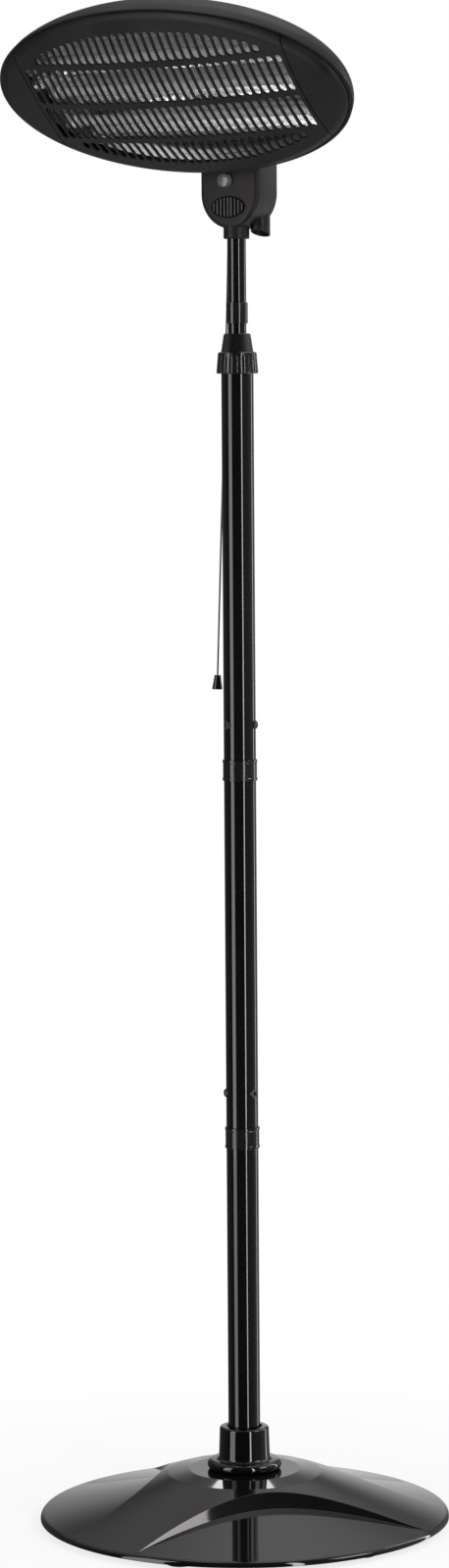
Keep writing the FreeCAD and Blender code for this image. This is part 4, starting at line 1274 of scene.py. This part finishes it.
def make_floor(size):
    """Pale floor that shows white round the heater's shadow; a gloss sees it polished."""
    bpy.ops.object.select_all(action="DESELECT")
    bpy.ops.mesh.primitive_plane_add(size=size, location=(0, 0, 0))
    floor = bpy.context.object
    floor.name = "pale_floor"
    material = bpy.data.materials.new("pale_floor")
    material.use_nodes = True
    tree = material.node_tree
    shader = tree.nodes["Principled BSDF"]
    set_inputs(tree, shader, {"Base Color": floor_colour, "Roughness": 0.9})
    path = add_node(tree, "ShaderNodeLightPath", {})
    seen = combined(tree, "MAXIMUM", path["Is Camera Ray"], path["Is Transmission Ray"])
    place = add_node(tree, "ShaderNodeTexCoord", {})["Object"]
    distance = add_node(tree, "ShaderNodeVectorMath", {0: place}, operation="LENGTH")["Value"]
    share = combined(tree, "MULTIPLY", seen, mapped(tree, distance, floor_outwards, "LINEAR"))
    glow = add_node(tree, "ShaderNodeEmission", {})[0]
    white = add_node(tree, "ShaderNodeMixShader", {0: share, 1: shader.outputs[0], 2: glow})[0]
    polish = add_node(tree, "ShaderNodeBsdfGlossy", {"Color": floor_polish, "Roughness": 0.08})[0]
    polished = add_node(tree, "ShaderNodeMixShader", {0: path["Is Glossy Ray"], 1: white, 2: polish})[0]
    set_inputs(tree, tree.nodes["Material Output"], {"Surface": polished})
    floor.data.materials.append(material)


def make_world():
    """White to the eye; a gloss sees a backdrop, a bright ceiling and a dark studio behind the camera."""
    world = bpy.data.worlds.new("studio")
    bpy.context.scene.world = world
    world.use_nodes = True
    tree = world.node_tree
    path = add_node(tree, "ShaderNodeLightPath", {})
    place = add_node(tree, "ShaderNodeTexCoord", {})["Generated"]
    parts = []
    for direction in (away, rightwards, (0, 0, 1)):
        part = add_node(tree, "ShaderNodeVectorMath", {0: place, 1: direction}, operation="DOT_PRODUCT")
        parts.append(part["Value"])
    behind, beside, height = parts
    sideways = add_node(tree, "ShaderNodeMath", {0: beside}, operation="ABSOLUTE")[0]
    ceiling = combined(tree, "MULTIPLY", mapped(tree, height, ceiling_upwards),
                       mapped(tree, behind, ceiling_backwards))
    backdrop = combined(tree, "MULTIPLY", mapped(tree, sideways, backdrop_sideways),
                        mapped(tree, height, backdrop_upwards), mapped(tree, behind, backdrop_backwards))
    studio = combined(tree, "ADD", ceiling, backdrop)
    studio = combined(tree, "MULTIPLY", studio, mapped(tree, beside, shade_on_the_left))
    studio = combined(tree, "ADD", studio, mapped(tree, beside, wall_on_the_right))
    strength = combined(tree, "MAXIMUM", path["Is Camera Ray"], path["Is Transmission Ray"], studio)
    set_inputs(tree, tree.nodes["Background"], {"Color": (1, 1, 1, 1), "Strength": strength})


def make_lamp(name, power):
    """Soft rectangular lamp that points at a height on the mast."""
    degrees, distance, height, aim_height, width, length = lamps[name]
    lamp = bpy.data.lights.new(name, "AREA")
    lamp.shape = "RECTANGLE"
    lamp.size = width
    lamp.size_y = length
    lamp.energy = power
    strip = linked(name, lamp)
    strip.location, _ = outward(camera_azimuth + math.radians(degrees), distance, height)
    aim = Vector((0, 0, aim_height)) - strip.location
    strip.rotation_euler = aim.to_track_quat("-Z", "Y").to_euler()
    strip.visible_camera = False


def make_camera(lens):
    """Camera at the picture's place."""
    look = away * math.cos(camera_pitch) - Vector((0, 0, math.sin(camera_pitch)))
    above = rightwards.cross(look)
    turn = Matrix((rightwards, above, -look)).transposed() @ Matrix.Rotation(camera_roll, 3, "Z")
    data = bpy.data.cameras.new("studio_camera")
    data.sensor_fit = "VERTICAL"
    data.sensor_height = sensor_height
    data.lens = lens
    data.clip_end = 100
    camera = linked("studio_camera", data)
    place = Vector((0, 0, camera_height)) - camera_distance * away - camera_left_of_mast * rightwards
    camera.matrix_world = Matrix.Translation(place) @ turn.to_4x4()
    bpy.context.scene.camera = camera


class HEATER_OT_stage(HeaterOperator, bpy.types.Operator):
    """Set the pale floor, the studio light and the camera"""

    bl_idname = "heater.stage"
    bl_label = "Stage"

    def execute(self, context):
        stage = context.scene.heater_stage
        context.scene.view_settings.view_transform = "Standard"
        make_floor(stage.floor_size)
        make_world()
        for name in lamps:
            make_lamp(name, getattr(stage, name))
        make_camera(stage.lens)
        return {"FINISHED"}


class HEATER_PT_pieces(bpy.types.Panel):
    """Lists the heater's pieces in the order in which they are made"""

    bl_idname = "HEATER_PT_pieces"
    bl_label = "Patio Heater"
    bl_space_type = "VIEW_3D"
    bl_region_type = "UI"
    bl_category = "Heater"

    def draw(self, context):
        column = self.layout.column()
        for operator in operators:
            column.operator(operator.bl_idname)
        for settings in settings_groups:
            group = getattr(context.scene, settings)
            for name in group.__annotations__:
                column.prop(group, name)


operators = (
    HEATER_OT_base,
    HEATER_OT_mast,
    HEATER_OT_clamp,
    HEATER_OT_neck,
    HEATER_OT_head,
    HEATER_OT_element,
    HEATER_OT_cord,
    HEATER_OT_finishes,
    HEATER_OT_stage,
)
settings_groups = {"heater_sizes": HeaterSizes, "heater_colours": HeaterColours, "heater_stage": HeaterStage}


def register():
    for group in settings_groups.values():
        bpy.utils.register_class(group)
    for name, group in settings_groups.items():
        setattr(bpy.types.Scene, name, PointerProperty(type=group))
    for operator in operators:
        bpy.utils.register_class(operator)
    bpy.utils.register_class(HEATER_PT_pieces)


def unregister():
    bpy.utils.unregister_class(HEATER_PT_pieces)
    for operator in reversed(operators):
        bpy.utils.unregister_class(operator)
    for name, group in settings_groups.items():
        delattr(bpy.types.Scene, name)
        bpy.utils.unregister_class(group)


def main():
    register()
    bpy.ops.heater.base()
    bpy.ops.heater.mast()
    bpy.ops.heater.clamp()
    bpy.ops.heater.neck()
    bpy.ops.heater.head()
    bpy.ops.heater.element()
    bpy.ops.heater.cord()
    bpy.ops.heater.finishes()
    bpy.ops.heater.stage()


if __name__ == "__main__":
    main()
